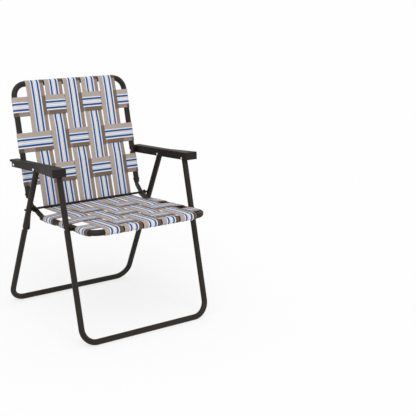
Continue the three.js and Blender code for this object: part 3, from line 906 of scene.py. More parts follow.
@dataclass
class HingeGear(SubAssembly):
    """Rod, caps, sleeves, tangs and links where seat, back and rear legs meet."""

    neck_radius: float = 2.4
    neck_length: float = 8.0
    cap_radius: float = 3.7
    cap_length: float = 20.0
    dome_rise: float = 0.6
    dome_turn: float = 84.0
    dome_points: int = 9
    sleeve_radius: float = 7.0
    tang_thickness: float = 3.5
    tang_inset: float = 3.0
    tang_width: float = 24.0
    tang_insert: float = 24.0
    tang_straight: float = 7.0
    link_width: float = 18.0
    edge: float = 0.7
    chamfer: float = 0.5
    sides: int = 32
    end_steps: int = 14

    def bar_outline(self, line: Sequence[Points], widths: Sequence[float]) -> Points:
        """A flat bar along a line, square at its start and round at its end.

        Args:
            line: The bar's middle, in the side view.
            widths: Its width at each point.

        Returns:
            The outline, anticlockwise.
        """
        ways = [unit(b - a) for a, b in zip(line, line[1:])]
        left = []
        right = []
        for place, width, before, after in zip(line, widths, ways[:1] + ways, ways):
            way = unit(before + after)
            across = flat(-way[1], way[0]) * width / 2
            left.append(place + across)
            right.append(place - across)
        angle = angle_of(ways[-1])
        tip = arc(line[-1], widths[-1] / 2, angle - QUARTER, angle + QUARTER, self.end_steps)
        return np.array(right + tip + left[::-1])

    def tang(self, end: Points, inward: Points, low: float) -> Shell:
        """The right tang: narrow in the tube's bore, wide outside it and round at the rod.

        Args:
            end: The tube's end, in the side view.
            inward: The direction into the tube.
            low: The X of its inner face.

        Returns:
            Points and faces.
        """
        lay = self.layout
        high = low + self.tang_thickness
        farthest = max(abs(low - lay.rail_half_width), abs(high - lay.rail_half_width))
        bore = lay.tube_radius - lay.tube_wall
        narrow = 2 * (math.sqrt(bore ** 2 - farthest ** 2) - lay.fit_gap)
        shoulder = end - lay.fit_gap * inward
        inside = [end + self.tang_insert * inward, shoulder + self.chamfer * inward]
        outside = [shoulder, end - self.tang_straight * inward, lay.hinge]
        widths = [narrow] * len(inside) + [self.tang_width] * len(outside)
        return MeshKit.stack(MeshKit.plate(self.bar_outline(inside + outside, widths), low, high, self.edge))

    def build_rod(self) -> None:
        """Makes the rod, its caps and the sleeves on it."""
        lay = self.layout
        shoulder = lay.link_inner - lay.fit_gap
        seat = lay.link_outer + lay.fit_gap
        neck_end = seat + self.neck_length
        cut = self.chamfer
        half = [
            (lay.rod_radius, shoulder - cut),
            (lay.rod_radius - cut, shoulder),
            (self.neck_radius, shoulder),
            (self.neck_radius, neck_end - cut),
            (self.neck_radius - cut, neck_end),
        ]
        rod = MeshKit.turned([(radius, -x) for radius, x in reversed(half)] + half, lay.hinge, self.sides)
        self.put("hinge_rod_bar", "hinge_rod", "seat", Slot.COAT, rod)
        rise = self.cap_radius * self.dome_rise
        dome = [
            (self.cap_radius * math.cos(a), seat + self.cap_length - rise * (1 - math.sin(a)))
            for a in np.linspace(0, math.radians(self.dome_turn), self.dome_points)
        ]
        foot = [(self.cap_radius - cut, seat), (self.cap_radius, seat + cut)]
        cap = MeshKit.turned(foot + dome, lay.hinge, self.sides)
        self.put_pair("rod_end_cap", "rod_cap", "seat", Slot.PLASTIC, cap)
        ring = PivotRing(self.sleeve_radius, lay.rod_radius + lay.fit_gap / 2)
        low = lay.rail_half_width - self.tang_inset + self.tang_thickness + 2 * lay.fit_gap
        sleeve = ring.shell(lay.hinge, low, shoulder)
        self.put_pair("rod_sleeve", "rod_spacer", "seat", Slot.PLASTIC, sleeve)

    def build(self) -> None:
        """Makes every piece of the hinge."""
        lay = self.layout
        self.build_rod()
        near = lay.rail_half_width - self.tang_inset
        back = self.tang(lay.back_end, lay.back_up, near + lay.fit_gap)
        self.put_pair("back_tang_bar", "back_tang", "back", Slot.COAT, back)
        seat = self.tang(lay.seat_end, lay.seat_forward, near - lay.fit_gap - self.tang_thickness)
        self.put_pair("seat_tang_bar", "seat_tang", "seat", Slot.COAT, seat)
        angle = angle_of(lay.link_pin - lay.hinge)
        radius = self.link_width / 2
        pin_end = arc(lay.link_pin, radius, angle - QUARTER, angle + QUARTER, self.end_steps)
        rod_end = arc(lay.hinge, radius, angle + QUARTER, angle + 3 * QUARTER, self.end_steps)
        rings = MeshKit.plate(np.array(pin_end + rod_end), lay.link_inner, lay.link_outer, self.edge)
        self.put_pair("rear_link_bar", "rear_link", "rear_links", Slot.COAT, MeshKit.stack(rings))


@dataclass
class Armrests(SubAssembly):
    """Moulded channels over the leg tops, which widen to a closed front.

    The plate over their walls overhangs at the rear.
    """

    tilt: float = 0.8
    front_overhang: float = 29.5
    rear_overhang: float = 19.0
    wall_end: float = 14.5
    waist: float = 118.0
    waist_bend: float = 34.0
    top: float = 21.0
    plate: float = 4.0
    wall_drop: float = 7.0
    rim_drop: float = 4.0
    front_width: float = 53.0
    rear_width: float = 35.0
    corner: float = 5.0
    rear_corner: float = 4.0
    heel: float = 4.0
    heel_points: int = 6
    heel_lap: float = 0.06
    crown_radius: float = 2.4
    crown_points: int = 7
    edge: float = 0.6
    edge_parts: int = 3
    support: float = 0.4
    rib_steps: int = 3
    sharp: float = 50.0
    ring: PivotRing = PivotRing(radius=7.0, bore=3.3)

    def __post_init__(self) -> None:
        """Works out where the walls end at the rear and where the plate's rim does below."""
        self.heel_end = self.layout.arm_reach + self.wall_end
        self.rim_level = self.top - self.plate - self.rim_drop

    def in_space(self, points: Points) -> Points:
        """Points of the moulding, which is tilted about its middle pivot, in the chair's frame.

        Args:
            points: As (x, distance behind the front pivot, height over the pivots).

        Returns:
            The points in space.
        """
        lay = self.layout
        up = heading(lay.arm_slope + self.tilt)
        rearward = flat(up[1], -up[0])
        behind_middle = points[:, 1:2] - lay.arm_mid_reach
        side_view = lay.arm_mid_pivot + behind_middle * rearward + points[:, 2:3] * up
        return np.column_stack([points[:, 0], side_view])

    def outline(self, rear_width: float) -> Points:
        """The right armrest's outline from above, with extra points where its walls end.

        Args:
            rear_width: Its width at the rear.

        Returns:
            Points (x, distance behind the front pivot), anticlockwise.
        """
        lay = self.layout
        front = -self.front_overhang
        rear = lay.arm_reach + self.rear_overhang
        rear_outer = lay.arm_inner + rear_width
        front_corners = [
            flat(lay.arm_inner, front),
            flat(lay.arm_inner + self.front_width, front),
            flat(lay.arm_outer, self.waist),
        ]
        rear_corners = [flat(rear_outer, rear), flat(lay.arm_inner, rear)]
        corners = front_corners + rear_corners
        radii = [self.corner, self.corner, self.waist_bend, self.rear_corner, self.rear_corner]
        rounded = MeshKit.rounded(corners, radii)
        spread = (rear_outer - lay.arm_outer) / (rear - self.waist)
        turns = np.linspace(0, QUARTER, self.heel_points)
        stations = [self.heel_end - self.heel * (1 - math.sin(a)) for a in turns]
        stations.append(self.heel_end + self.heel_lap)
        outer_wall = [flat(lay.arm_outer + spread * (u - self.waist), u) for u in stations]
        inner_wall = [flat(lay.arm_inner, u) for u in reversed(stations)]
        before_rear = len(rounded) * len(front_corners) // len(corners)
        return np.concatenate([rounded[:before_rear], outer_wall, rounded[before_rear:], inner_wall])

    def lower_edge(self, distances: Points) -> Points:
        """Height of the walls' lower edge.

        Args:
            distances: Places behind the front pivot.

        Returns:
            The height at each.
        """
        into = np.clip(distances - (self.heel_end - self.heel), 0, self.heel)
        heel = -self.wall_drop + self.heel - np.sqrt(self.heel ** 2 - into ** 2)
        return np.where(distances > self.heel_end + self.heel_lap / 2, self.rim_level, heel)

    def tray(self) -> Shell:
        """The walls and the plate over them, as one skin.

        Returns:
            Points and faces.
        """
        wall = self.layout.arm_wall
        skirt = self.outline(self.layout.arm_outer - self.layout.arm_inner)
        plate = self.outline(self.rear_width)
        low = self.lower_edge(skirt[:, 1])
        rim = np.full(len(skirt), self.rim_level)
        high = np.full(len(skirt), self.top)
        soft = self.edge
        lip = np.minimum(soft, np.linalg.norm(plate - skirt, axis=1))
        levels = [
            (skirt, wall, high - self.plate),
            (skirt, wall, low + soft),
            (skirt, wall - soft / self.edge_parts, low + soft / self.edge_parts),
            (skirt, wall - soft, low),
            (skirt, soft, low),
            (skirt, soft / self.edge_parts, np.minimum(low + soft / self.edge_parts, rim)),
            (skirt, 0.0, np.minimum(low + soft, rim)),
            (skirt, 0.0, np.minimum(low + soft + self.support, rim)),
            (skirt, 0.0, rim),
            (plate, lip, rim),
            (plate, lip / self.edge_parts, rim + lip / self.edge_parts),
            (plate, 0.0, rim + lip),
            (plate, 0.0, high - self.crown_radius - self.support),
        ]
        for a in np.linspace(0, QUARTER, self.crown_points):
            drop = self.crown_radius * (1 - math.sin(a))
            levels.append((plate, self.crown_radius * (1 - math.cos(a)), high - drop))
        levels.append((plate, self.crown_radius + self.support, high))
        rings = [np.column_stack([MeshKit.inset(base, inset), heights]) for base, inset, heights in levels]
        return MeshKit.stack([self.in_space(ring) for ring in rings])

    def rib(self) -> Shell:
        """The straight rib inside the wide front, which takes the front rivet.

        Returns:
            Points and faces.
        """
        lay = self.layout
        lap = self.top - self.plate / 2
        front = -self.front_overhang + lay.arm_wall / 2
        low = -self.wall_drop + self.edge
        corners = [flat(front, low), flat(self.waist, low), flat(self.waist, lap), flat(front, lap)]
        outline = MeshKit.rounded(corners, [self.edge] * len(corners), self.rib_steps)
        rings = MeshKit.plate(outline, lay.arm_outer - lay.arm_wall, lay.arm_outer, self.edge / 2)
        return MeshKit.stack([self.in_space(ring) for ring in rings])

    def build(self) -> None:
        """Makes both armrests and the rings at the back's and the seat's pivots."""
        lay = self.layout
        moulding = MeshKit.merged(self.tray(), self.rib())
        self.put_pair("armrest_moulding", "armrest", "armrests", Slot.PLASTIC, moulding, self.sharp)
        low = lay.rail_outer + lay.fit_gap
        arm_ring = self.ring.shell(lay.arm_rear_pivot, low, lay.arm_inner - lay.fit_gap)
        self.put_pair("arm_pivot_ring", "arm_spacer", "armrests", Slot.PLASTIC, arm_ring)
        seat_ring = self.ring.shell(lay.seat_pivot, low, lay.leg_inner - lay.run_gap)
        self.put_pair("seat_pivot_ring", "seat_spacer", "seat", Slot.PLASTIC, seat_ring)


@dataclass(frozen=True)
class FastenerSize:
    """Sizes of a domed head and its shank."""

    head_radius: float
    head_height: float
    shank_radius: float
    shank_length: float

    def inputs(self) -> dict[str, float]:
        """The node tree's inputs in metres, by their names there."""
        return {key.replace("_", " ").title(): size * MM for key, size in asdict(self).items()}


@dataclass
class FastenerTree:
    """A node tree that sets a domed head with its shank on every point of a mesh.

    Each point carries a head_axis attribute, which says where its head looks.
    """

    name: str = "domed_fasteners"
    head_sides: int = 20
    head_rings: int = 12
    shank_sides: int = 12

    def head(self, sketch: NodeSketch, given: bpy.types.bpy_prop_collection) -> bpy.types.NodeSocket:
        """The domed head, flat below.

        Args:
            sketch: The tree's sketch.
            given: The tree's inputs.

        Returns:
            Its geometry.
        """
        ball = {"Segments": self.head_sides, "Rings": self.head_rings, "Radius": given["Head Radius"]}
        place = sketch.add("GeometryNodeInputPosition", {}).outputs["Position"]
        parts = sketch.add("ShaderNodeSeparateXYZ", {"Vector": place}).outputs
        flatten = sketch.math("DIVIDE", given["Head Height"], given["Head Radius"])
        lifted = sketch.math("MULTIPLY", sketch.math("MAXIMUM", parts["Z"], 0.0), flatten)
        whole = sketch.add("ShaderNodeCombineXYZ", {"X": parts["X"], "Y": parts["Y"], "Z": lifted})
        feeds = {
            "Geometry": sketch.add("GeometryNodeMeshUVSphere", ball).outputs["Mesh"],
            "Position": whole.outputs["Vector"],
        }
        return sketch.add("GeometryNodeSetPosition", feeds).outputs["Geometry"]

    def shank(self, sketch: NodeSketch, given: bpy.types.bpy_prop_collection) -> bpy.types.NodeSocket:
        """The shank below the head.

        Args:
            sketch: The tree's sketch.
            given: The tree's inputs.

        Returns:
            Its geometry.
        """
        length = given["Shank Length"]
        rod = {"Vertices": self.shank_sides, "Radius": given["Shank Radius"], "Depth": length}
        sunk = sketch.add("ShaderNodeCombineXYZ", {"Z": sketch.math("MULTIPLY", length, -0.5)})
        feeds = {
            "Geometry": sketch.add("GeometryNodeMeshCylinder", rod).outputs["Mesh"],
            "Translation": sunk.outputs["Vector"],
        }
        return sketch.add("GeometryNodeTransform", feeds).outputs["Geometry"]

    def build(self) -> bpy.types.NodeTree:
        """Draws the tree, with named inputs for its sizes.

        Returns:
            The tree.
        """
        tree = bpy.data.node_groups.new(self.name, "GeometryNodeTree")
        kinds = {"Geometry": "NodeSocketGeometry", "Material": "NodeSocketMaterial"}
        sizes = ("Head Radius", "Head Height", "Shank Radius", "Shank Length")
        for key in ("Geometry", *sizes, "Material"):
            kind = kinds.get(key, "NodeSocketFloat")
            tree.interface.new_socket(key, in_out="INPUT", socket_type=kind)
        tree.interface.new_socket("Geometry", in_out="OUTPUT", socket_type="NodeSocketGeometry")
        sketch = NodeSketch(tree)
        given = sketch.add("NodeGroupInput", {}).outputs
        both = sketch.add("GeometryNodeJoinGeometry", {"Geometry": self.shank(sketch, given)})
        sketch.feed(both, {"Geometry": self.head(sketch, given)})
        axis = sketch.add("GeometryNodeInputNamedAttribute", {"Name": "head_axis"}, data_type="FLOAT_VECTOR")
        aim = sketch.add("FunctionNodeAlignRotationToVector", {"Vector": axis.outputs["Attribute"]}, axis="Z")
        copies = sketch.add("GeometryNodeInstanceOnPoints", {
            "Points": sketch.add("GeometryNodeMeshToPoints", {"Mesh": given["Geometry"]}).outputs["Points"],
            "Instance": both.outputs["Geometry"],
            "Rotation": aim.outputs["Rotation"],
        })
        plain = sketch.add("GeometryNodeRealizeInstances", {"Geometry": copies.outputs["Instances"]})
        smooth = sketch.add("GeometryNodeSetShadeSmooth", {"Geometry": plain.outputs["Geometry"]})
        dressed = {"Geometry": smooth.outputs["Geometry"], "Material": given["Material"]}
        finished = sketch.add("GeometryNodeSetMaterial", dressed).outputs["Geometry"]
        sketch.add("NodeGroupOutput", {"Geometry": finished})
        return tree


@dataclass
class FastenerSet:
    """Fasteners of one size and finish on one body."""

    name: str
    body: str
    slot: Slot
    size: FastenerSize
    nodes: list[str] = field(default_factory=list)
    places: list[Points] = field(default_factory=list)
    axes: list[Points] = field(default_factory=list)

    def put(self, place: Sequence[float], axis: Sequence[float]) -> None:
        """Adds one fastener with its seat at a place and its head along an axis."""
        self.places.append(np.array(place, float))
        self.axes.append(np.array(axis, float))

    def put_pair(self, side_view: Points, inner: float | None, outer: float | None) -> None:
        """Adds heads along X on both sides of the chair.

        Args:
            side_view: The axis in the side view.
            inner: The X of the seat of heads that look inwards, if there are any.
            outer: The X of the seat of heads that look outwards, if there are any.
        """
        for hand in Hand:
            for seat, way in ((inner, -hand.value), (outer, hand.value)):
                if seat is not None:
                    self.put((hand.value * seat, *side_view), (way, 0.0, 0.0))

    def build(self, tree: bpy.types.NodeTree, materials: dict[Slot, bpy.types.Material]) -> None:
        """Runs the tree and puts the result on its body.

        Args:
            tree: The fastener tree.
            materials: Materials by slot.
        """
        mesh = bpy.data.meshes.new(self.name)
        mesh.from_pydata([tuple(p * MM) for p in self.places], [], [])
        axis = mesh.attributes.new("head_axis", "FLOAT_VECTOR", "POINT")
        axis.data.foreach_set("vector", np.concatenate(self.axes).astype(np.float32))
        made = show(self.name, mesh)
        grow = made.modifiers.new("fasteners", "NODES")
        grow.node_group = tree
        keys = {s.name: s.identifier for s in tree.interface.items_tree if s.in_out == "INPUT"}
        for key, value in self.size.inputs().items():
            grow[keys[key]] = value
        grow[keys["Material"]] = materials[self.slot]
        evaluated = made.evaluated_get(bpy.context.evaluated_depsgraph_get())
        plain = bpy.data.meshes.new_from_object(evaluated)
        made.modifiers.remove(grow)
        made.data = plain
        settle(made, self.body, self.slot, *self.nodes)


@dataclass
class Rivets(SubAssembly):
    """Every rivet of the chair, in one set for each body and finish."""

    tree: bpy.types.NodeTree
    size: FastenerSize = FastenerSize(head_radius=4.8, head_height=1.9, shank_radius=3.0, shank_length=8.0)
    tail_head: float = 1.6

    def build(self) -> None:
        """Makes the rivets of armrests, back, seat, legs and links."""
        lay = self.layout
        gap = lay.fit_gap
        arm_inner = lay.arm_inner - gap
        arm_outer = lay.arm_outer + gap
        rail_inner = lay.rail_inner - gap
        rail_outer = lay.rail_outer + gap
        leg_outer = lay.leg_outer + gap
        size = self.size
        tail = replace(size, head_height=self.tail_head, shank_length=lay.link_thickness)
        arms = [
            ("arm_front_rivet", lay.arm_front_pivot, arm_inner, arm_outer),
            ("arm_middle_rivet", lay.arm_mid_pivot, arm_inner, arm_outer),
            ("arm_rear_rivet", lay.arm_rear_pivot, rail_inner, arm_outer),
        ]
        back = [("back_tang_rivet", lay.back_tang_rivet, rail_inner, rail_outer)]
        seat = [("seat_tang_rivet", lay.seat_tang_rivet, rail_inner, rail_outer)]
        inner = [("seat_rivet", lay.seat_pivot, rail_inner, None)]
        front = [("front_leg_rivet", lay.seat_pivot, None, leg_outer)]
        rear = [("link_rivet", lay.link_pin, None, leg_outer)]
        tails = [("link_rivet_tail", lay.link_pin, lay.link_inner - gap, None)]
        for rivets, rows in (
            (FastenerSet("armrest_rivets", "armrests", Slot.ZINC, size), arms),
            (FastenerSet("back_tang_rivets", "back", Slot.COAT, size), back),
            (FastenerSet("seat_tang_rivets", "seat", Slot.COAT, size), seat),
            (FastenerSet("seat_pivot_rivets", "seat", Slot.ZINC, size), inner),
            (FastenerSet("front_leg_rivets", "front_legs", Slot.ZINC, size), front),
            (FastenerSet("rear_leg_rivets", "rear_legs", Slot.ZINC, size), rear),
            (FastenerSet("link_rivet_tails", "rear_links", Slot.ZINC, tail), tails),
        ):
            for stem, place, inner_seat, outer_seat in rows:
                rivets.put_pair(place, inner_seat, outer_seat)
                rivets.nodes += [f"{stem}_{hand.word}" for hand in Hand]
            rivets.build(self.tree, self.materials)


@dataclass
class StrapPanel:
    """One panel of the webbing, with the straight way of its long straps from a tube to the hinge rod."""

    body: str
    tube: Points
    along: Points
    face: Points
    places: tuple[float, ...]
    bend: float
    hinge: Points
    tube_wrap: float
    rod_wrap: float
    half_width: float
    stripe_way: float

    def __post_init__(self) -> None:
        """Works out the tangent from the tube's face to the rod's far side."""
        span = self.hinge - self.tube
        way = unit(span)
        square = unit(self.face - way * float(self.face @ way))
        tilt = math.asin((self.tube_wrap + self.rod_wrap) / float(np.linalg.norm(span)))
        self.normal = square * math.cos(tilt) + way * math.sin(tilt)
        self.start = self.tube + self.normal * self.tube_wrap
        self.end = self.hinge - self.normal * self.rod_wrap
        self.way = unit(self.end - self.start)
        self.wrap_sign = math.copysign(1.0, turn_of(self.way, self.normal))

    def level(self, distance: float) -> float:
        """The long straps' height over the side tubes, at a distance from the far tube."""
        centre = self.tube + distance * self.along
        return reach_to_line(centre, self.face, self.start, self.way)

    def at(self, distance: float, height: float) -> Points:
        """The flat point at a distance along the side tubes and a height over them."""
        return self.tube + distance * self.along + height * self.face

    def local(self, point: Points) -> tuple[float, float]:
        """A flat point's distance along the side tubes and its height over them."""
        return float((point - self.tube) @ self.along), float((point - self.tube) @ self.face)

    def tube_place(self, distance: float) -> tuple[float, float]:
        """Where the side tube is, near its bend.

        Args:
            distance: From the far tube, along the rail.

        Returns:
            The tube's X and how much wider its section is across the chair.
        """
        if distance >= self.bend:
            return self.half_width, 1.0
        short = self.bend - distance
        drawn_in = self.bend - math.sqrt(self.bend ** 2 - short ** 2)
        return self.half_width - drawn_in, 1 / math.sqrt(1 - (short / self.bend) ** 2)


@dataclass
class Ribbon:
    """A strap's mesh, from a grid of points on its middle surface."""

    name: str
    middles: Points
    across: Points
    along: Points
    backed: Points
    half_thickness: Points
    sharp: float = 60.0

    def normals(self) -> Points:
        """Unit normals of the middle surface."""
        normal = np.cross(np.gradient(self.middles, axis=1), np.gradient(self.middles, axis=0))
        return normal / np.linalg.norm(normal, axis=2)[:, :, None]

    def build(self, material: bpy.types.Material) -> bpy.types.Object:
        """Makes the closed ribbon with its chart and the backed attribute, which sets where painted shade
        falls on the dark band.

        Args:
            material: The webbing.

        Returns:
            The piece.
        """
        rows, columns = self.middles.shape[:2]
        lift = self.normals() * self.half_thickness[:, None, None]
        order = list(range(columns)) + list(range(columns - 2, 0, -1))
        sign = np.array([0.0] + [1.0] * (columns - 2) + [0.0] + [-1.0] * (columns - 2))
        rings = [self.middles[i, order] + lift[i, order] * sign[:, None] for i in range(rows)]
        made = MeshKit.piece(self.name, MeshKit.stack(rings), material, self.sharp)
        mesh = made.data
        chart = np.stack([self.across[:, order], self.along[:, order]], axis=2).reshape(-1, 2)
        corners = np.empty(len(mesh.loops), np.int64)
        mesh.loops.foreach_get("vertex_index", corners)
        layer = mesh.uv_layers.new(name="UVMap")
        layer.data.foreach_set("uv", chart[corners].astype(np.float32).ravel())
        mask = mesh.attributes.new("backed", "FLOAT", "POINT")
        mask.data.foreach_set("value", self.backed[:, order].astype(np.float32).ravel())
        return made


@dataclass
class Webbing(SubAssembly):
    """The woven straps of back and seat: five long ones round the rod, three across each."""

    tree: bpy.types.NodeTree
    width: float = 72.0
    thickness: float = 1.4
    long_count: int = 5
    long_gap: float = 5.5
    back_places: tuple[float, ...] = (84.0, 215.3, 336.6)
    seat_places: tuple[float, ...] = (57.0, 170.5, 284.0)
    weave_step: float = 0.9
    flat_margin: float = 0.6
    lie_gap: float = 0.25
    wrap_turn: float = 196.0
    wrap_steps: int = 28
    rod_steps: int = 16
    hem_length: float = 11.0
    hem_growth: float = 1.7
    hem_fade: float = 1.5
    edge: float = 0.5
    columns: int = 24
    row_step: float = 3.5
    least_rows: int = 3
    gap_rows: int = 8
    screw: FastenerSize = FastenerSize(head_radius=3.6, head_height=1.5, shank_radius=1.6, shank_length=4.0)
    screw_turn: float = 172.0
    long_screws: tuple[float, ...] = (-0.25, 0.25)
    cross_screws: tuple[float, ...] = (-0.125, 0.25)

    def __post_init__(self) -> None:
        """Works out the panels, the columns of a strap and how it wraps."""
        lay = self.layout
        self.tube_wrap = lay.tube_radius + self.lie_gap + self.thickness / 2
        self.rod_wrap = lay.rod_radius + self.lie_gap + self.thickness / 2
        self.reach = self.width / 2 + self.flat_margin
        shared = (lay.hinge, self.tube_wrap, self.rod_wrap, lay.rail_half_width)
        back = ("back", lay.back_top, -lay.back_up, lay.back_face, self.back_places, lay.back_bend)
        seat = ("seat", lay.seat_front, -lay.seat_forward, lay.seat_face, self.seat_places, lay.seat_bend)
        self.back = StrapPanel(*back, *shared, stripe_way=1.0)
        self.seat = StrapPanel(*seat, *shared, stripe_way=-1.0)
        half = self.width / 2
        inner = np.linspace(-half + self.edge, half - self.edge, self.columns - 1)
        self.columns_at = np.concatenate([[-half], inner, [half]])

    def long_middle(self, index: int) -> float:
        """X of a long strap's middle."""
        return (index - (self.long_count - 1) / 2) * (self.width + self.long_gap)

    def cross_step(self, long_index: int, cross_index: int) -> float:
        """How far a cross strap lies over a long strap's way, or under it."""
        return self.weave_step if (long_index + cross_index) % 2 == 1 else -self.weave_step

    @staticmethod
    def between(a: Sequence[float], b: Sequence[float], count: int, smooth: bool) -> list[Points]:
        """Points from one place to another, the first left out.

        Args:
            a: The first place, with its height second.
            b: The last place, with its height second.
            count: The number of points.
            smooth: Whether the height follows a smooth step, not a straight line.

        Returns:
            The points.
        """
        shares = [k / count for k in range(1, count + 1)]
        rises = [ease(t) if smooth else t for t in shares]
        return [flat(a[0] + (b[0] - a[0]) * t, a[1] + (b[1] - a[1]) * r) for t, r in zip(shares, rises)]

    def long_half(self, panel: StrapPanel, index: int) -> tuple[list[Points], list[float]]:
        """A long strap's line from behind its tube to the rod.

        Args:
            panel: The panel that it crosses.
            index: The strap's number from the left.

        Returns:
            Flat points, and the number for what lies behind each.
        """
        face = angle_of(panel.normal)
        start = face + panel.wrap_sign * math.radians(self.wrap_turn)
        line = arc(panel.tube, self.tube_wrap, start, face, self.wrap_steps)
        backed = [Backing.TUBE.value] * len(line)
        keys = [(*panel.local(panel.start), Backing.TUBE)]
        for j, place in enumerate(panel.places):
            height = panel.level(place) - self.cross_step(index, j)
            keys.append((place - self.reach, height, Backing.NOTHING))
            keys.append((place + self.reach, height, Backing.STRAP))
        keys.append((*panel.local(panel.end), Backing.NOTHING))
        for a, b in zip(keys, keys[1:]):
            count = max(self.least_rows, round((b[0] - a[0]) / self.row_step))
            line += [panel.at(*point) for point in self.between(a, b, count, smooth=True)]
            backed += [b[2].value] * count
        return line, backed

    def rod_bend(self) -> list[Points]:
        """The bend round the rod, from the back's run to the seat's.

        Returns:
            Flat points, without the two ends.
        """
        start = angle_of(-self.back.normal)
        turn = (angle_of(-self.seat.normal) - start + math.pi) % math.tau - math.pi
        return arc(self.layout.hinge, self.rod_wrap, start, start + turn, self.rod_steps)[1:-1]

    def blend_ends(self) -> list[Vector]:
        """The two places between which a long strap passes from back to seat.

        Returns:
            Both places in metres.
        """
        middle = unit(-(self.back.normal + self.seat.normal))
        way = flat(-middle[1], middle[0])
        half = float(way @ (self.seat.end - self.back.end)) / 2
        hinge = self.layout.hinge
        return [Vector((0, *place)) * MM for place in (hinge - half * way, hinge + half * way)]

    def hem(self, lengths: Points) -> Points:
        """The thickness of a strap, whose folded ends are thicker.

        Args:
            lengths: Places along it, from end to end.

        Returns:
            Half the thickness at each.
        """
        near_end = np.minimum(lengths, lengths[-1] - lengths)
        folded = np.clip((self.hem_length + self.hem_fade - near_end) / self.hem_fade, 0, 1)
        return self.thickness / 2 * (1 + (self.hem_growth - 1) * folded)

    def long_strap(self, index: int) -> tuple[bpy.types.Object, float]:
        """One strap from the top tube, under the rod, to the front tube.

        Args:
            index: Its number from the left.

        Returns:
            The piece and its flat length.
        """
        back, back_mask = self.long_half(self.back, index)
        seat, seat_mask = self.long_half(self.seat, index)
        bend = self.rod_bend()
        line = np.array(back + bend + seat[::-1])
        mask = np.array(back_mask + [Backing.STRAP.value] * len(bend) + seat_mask[::-1])
        lengths = np.concatenate([[0], np.cumsum(np.linalg.norm(np.diff(line, axis=0), axis=1))])
        grid = (len(line), len(self.columns_at))
        middles = np.empty((*grid, 3))
        middles[:, :, 0] = self.long_middle(index) + self.columns_at
        middles[:, :, 1:] = line[:, None, :]
        across = np.broadcast_to(self.columns_at / self.width + 0.5, grid)
        along = np.broadcast_to((lengths / self.width)[:, None], grid)
        backed = np.broadcast_to(mask[:, None], grid)
        ribbon = Ribbon(f"long_strap_{index + 1}", middles, across, along, backed, self.hem(lengths))
        return ribbon.build(self.materials[Slot.WEBBING]), float(lengths[-1])

    def cross_column(self, panel: StrapPanel, index: int, offset: float) -> tuple[Points, list[float]]:
        """One line of a cross strap from behind the left tube to behind the right one.

        Args:
            panel: The strap's panel.
            index: The strap's number from the far tube.
            offset: The line's place across the strap.

        Returns:
            Points (x, height), and the number for what lies behind each.
        """
        place = panel.places[index]
        tube_x, wider = panel.tube_place(place + offset)
        level = panel.level(place)
        heights = [level + self.cross_step(i, index) for i in range(self.long_count)]
        first = flat((self.long_middle(0) - self.reach + tube_x) / wider, heights[0])
        lean = angle_of(first) + math.acos(self.tube_wrap / float(np.linalg.norm(first)))
        bottom = QUARTER + math.radians(self.wrap_turn)
        wrap = arc(flat(0.0, 0.0), self.tube_wrap, bottom, lean, self.wrap_steps)
        left = [flat(-tube_x + wider * point[0], point[1]) for point in wrap]
        right = [flat(-point[0], point[1]) for point in reversed(left)]
        keys = [(*left[-1], Backing.TUBE)]
        for i, height in enumerate(heights):
            keys.append((self.long_middle(i) - self.reach, height, Backing.NOTHING))
            keys.append((self.long_middle(i) + self.reach, height, Backing.STRAP))
        keys.append((*right[0], Backing.NOTHING))
        line = list(left)
        backed = [Backing.TUBE.value] * len(left)
        over_rows = round(2 * self.reach / self.row_step)
        for n, (a, b) in enumerate(zip(keys, keys[1:])):
            count = over_rows if b[2] is Backing.STRAP else self.gap_rows
            line += self.between(a, b, count, smooth=n not in (0, len(keys) - 2))
            backed += [b[2].value] * count
        # The last run ends where the right wrap starts, so that point is taken from the wrap.
        backed[-1:] = [Backing.TUBE.value] * len(right)
        return np.array(line[:-1] + right), backed

    def cross_strap(self, panel: StrapPanel, index: int) -> tuple[bpy.types.Object, float]:
        """One strap from side tube to side tube.

        Args:
            panel: Its panel.
            index: Its number from the far tube.

        Returns:
            The piece and its flat length.
        """
        middles, masks, lengths = [], [], []
        for offset in self.columns_at:
            line, mask = self.cross_column(panel, index, offset)
            side_view = panel.at(panel.places[index] + offset, line[:, 1:2])
            middles.append(np.column_stack([line[:, 0], side_view]))
            masks.append(mask)
            steps = np.linalg.norm(np.diff(line, axis=0), axis=1)
            lengths.append(np.concatenate([[0], np.cumsum(steps)]))
        along = np.array(lengths).T / self.width
        across = np.broadcast_to(panel.stripe_way * self.columns_at / self.width + 0.5, along.shape)
        spine = lengths[len(self.columns_at) // 2]
        name = f"{panel.body}_crosswise_strap_{index + 1}"
        middle = np.array(middles).transpose(1, 0, 2)
        ribbon = Ribbon(name, middle, across, along, np.array(masks).T, self.hem(spine))
        return ribbon.build(self.materials[Slot.WEBBING]), float(spine[-1])

    def end_screws(self, panel: StrapPanel) -> None:
        """Makes the small screws that hold a panel's folded strap ends behind its tubes.

        Args:
            panel: The panel.
        """
        depth = self.tube_wrap + self.thickness * self.hem_growth / 2
        turn = math.radians(self.screw_turn)
        screws = FastenerSet(f"{panel.body}_strap_screws", panel.body, Slot.ZINC, self.screw)
        angle = angle_of(panel.normal) + panel.wrap_sign * turn
        spoke = flat(math.cos(angle), math.sin(angle))
        for i in range(self.long_count):
            for share in self.long_screws:
                x = self.long_middle(i) + share * self.width
                screws.put((x, *(panel.tube + depth * spoke)), (0.0, *spoke))
        for place in panel.places:
            for hand in Hand:
                for share in self.cross_screws:
                    distance = place + share * self.width
                    tube_x, _ = panel.tube_place(distance)
                    axis = np.array([hand.value * math.sin(turn), *(math.cos(turn) * panel.face)])
                    middle = np.array([hand.value * tube_x, *panel.at(distance, 0.0)])
                    screws.put(middle + depth * axis, axis)
        screws.build(self.tree, self.materials)

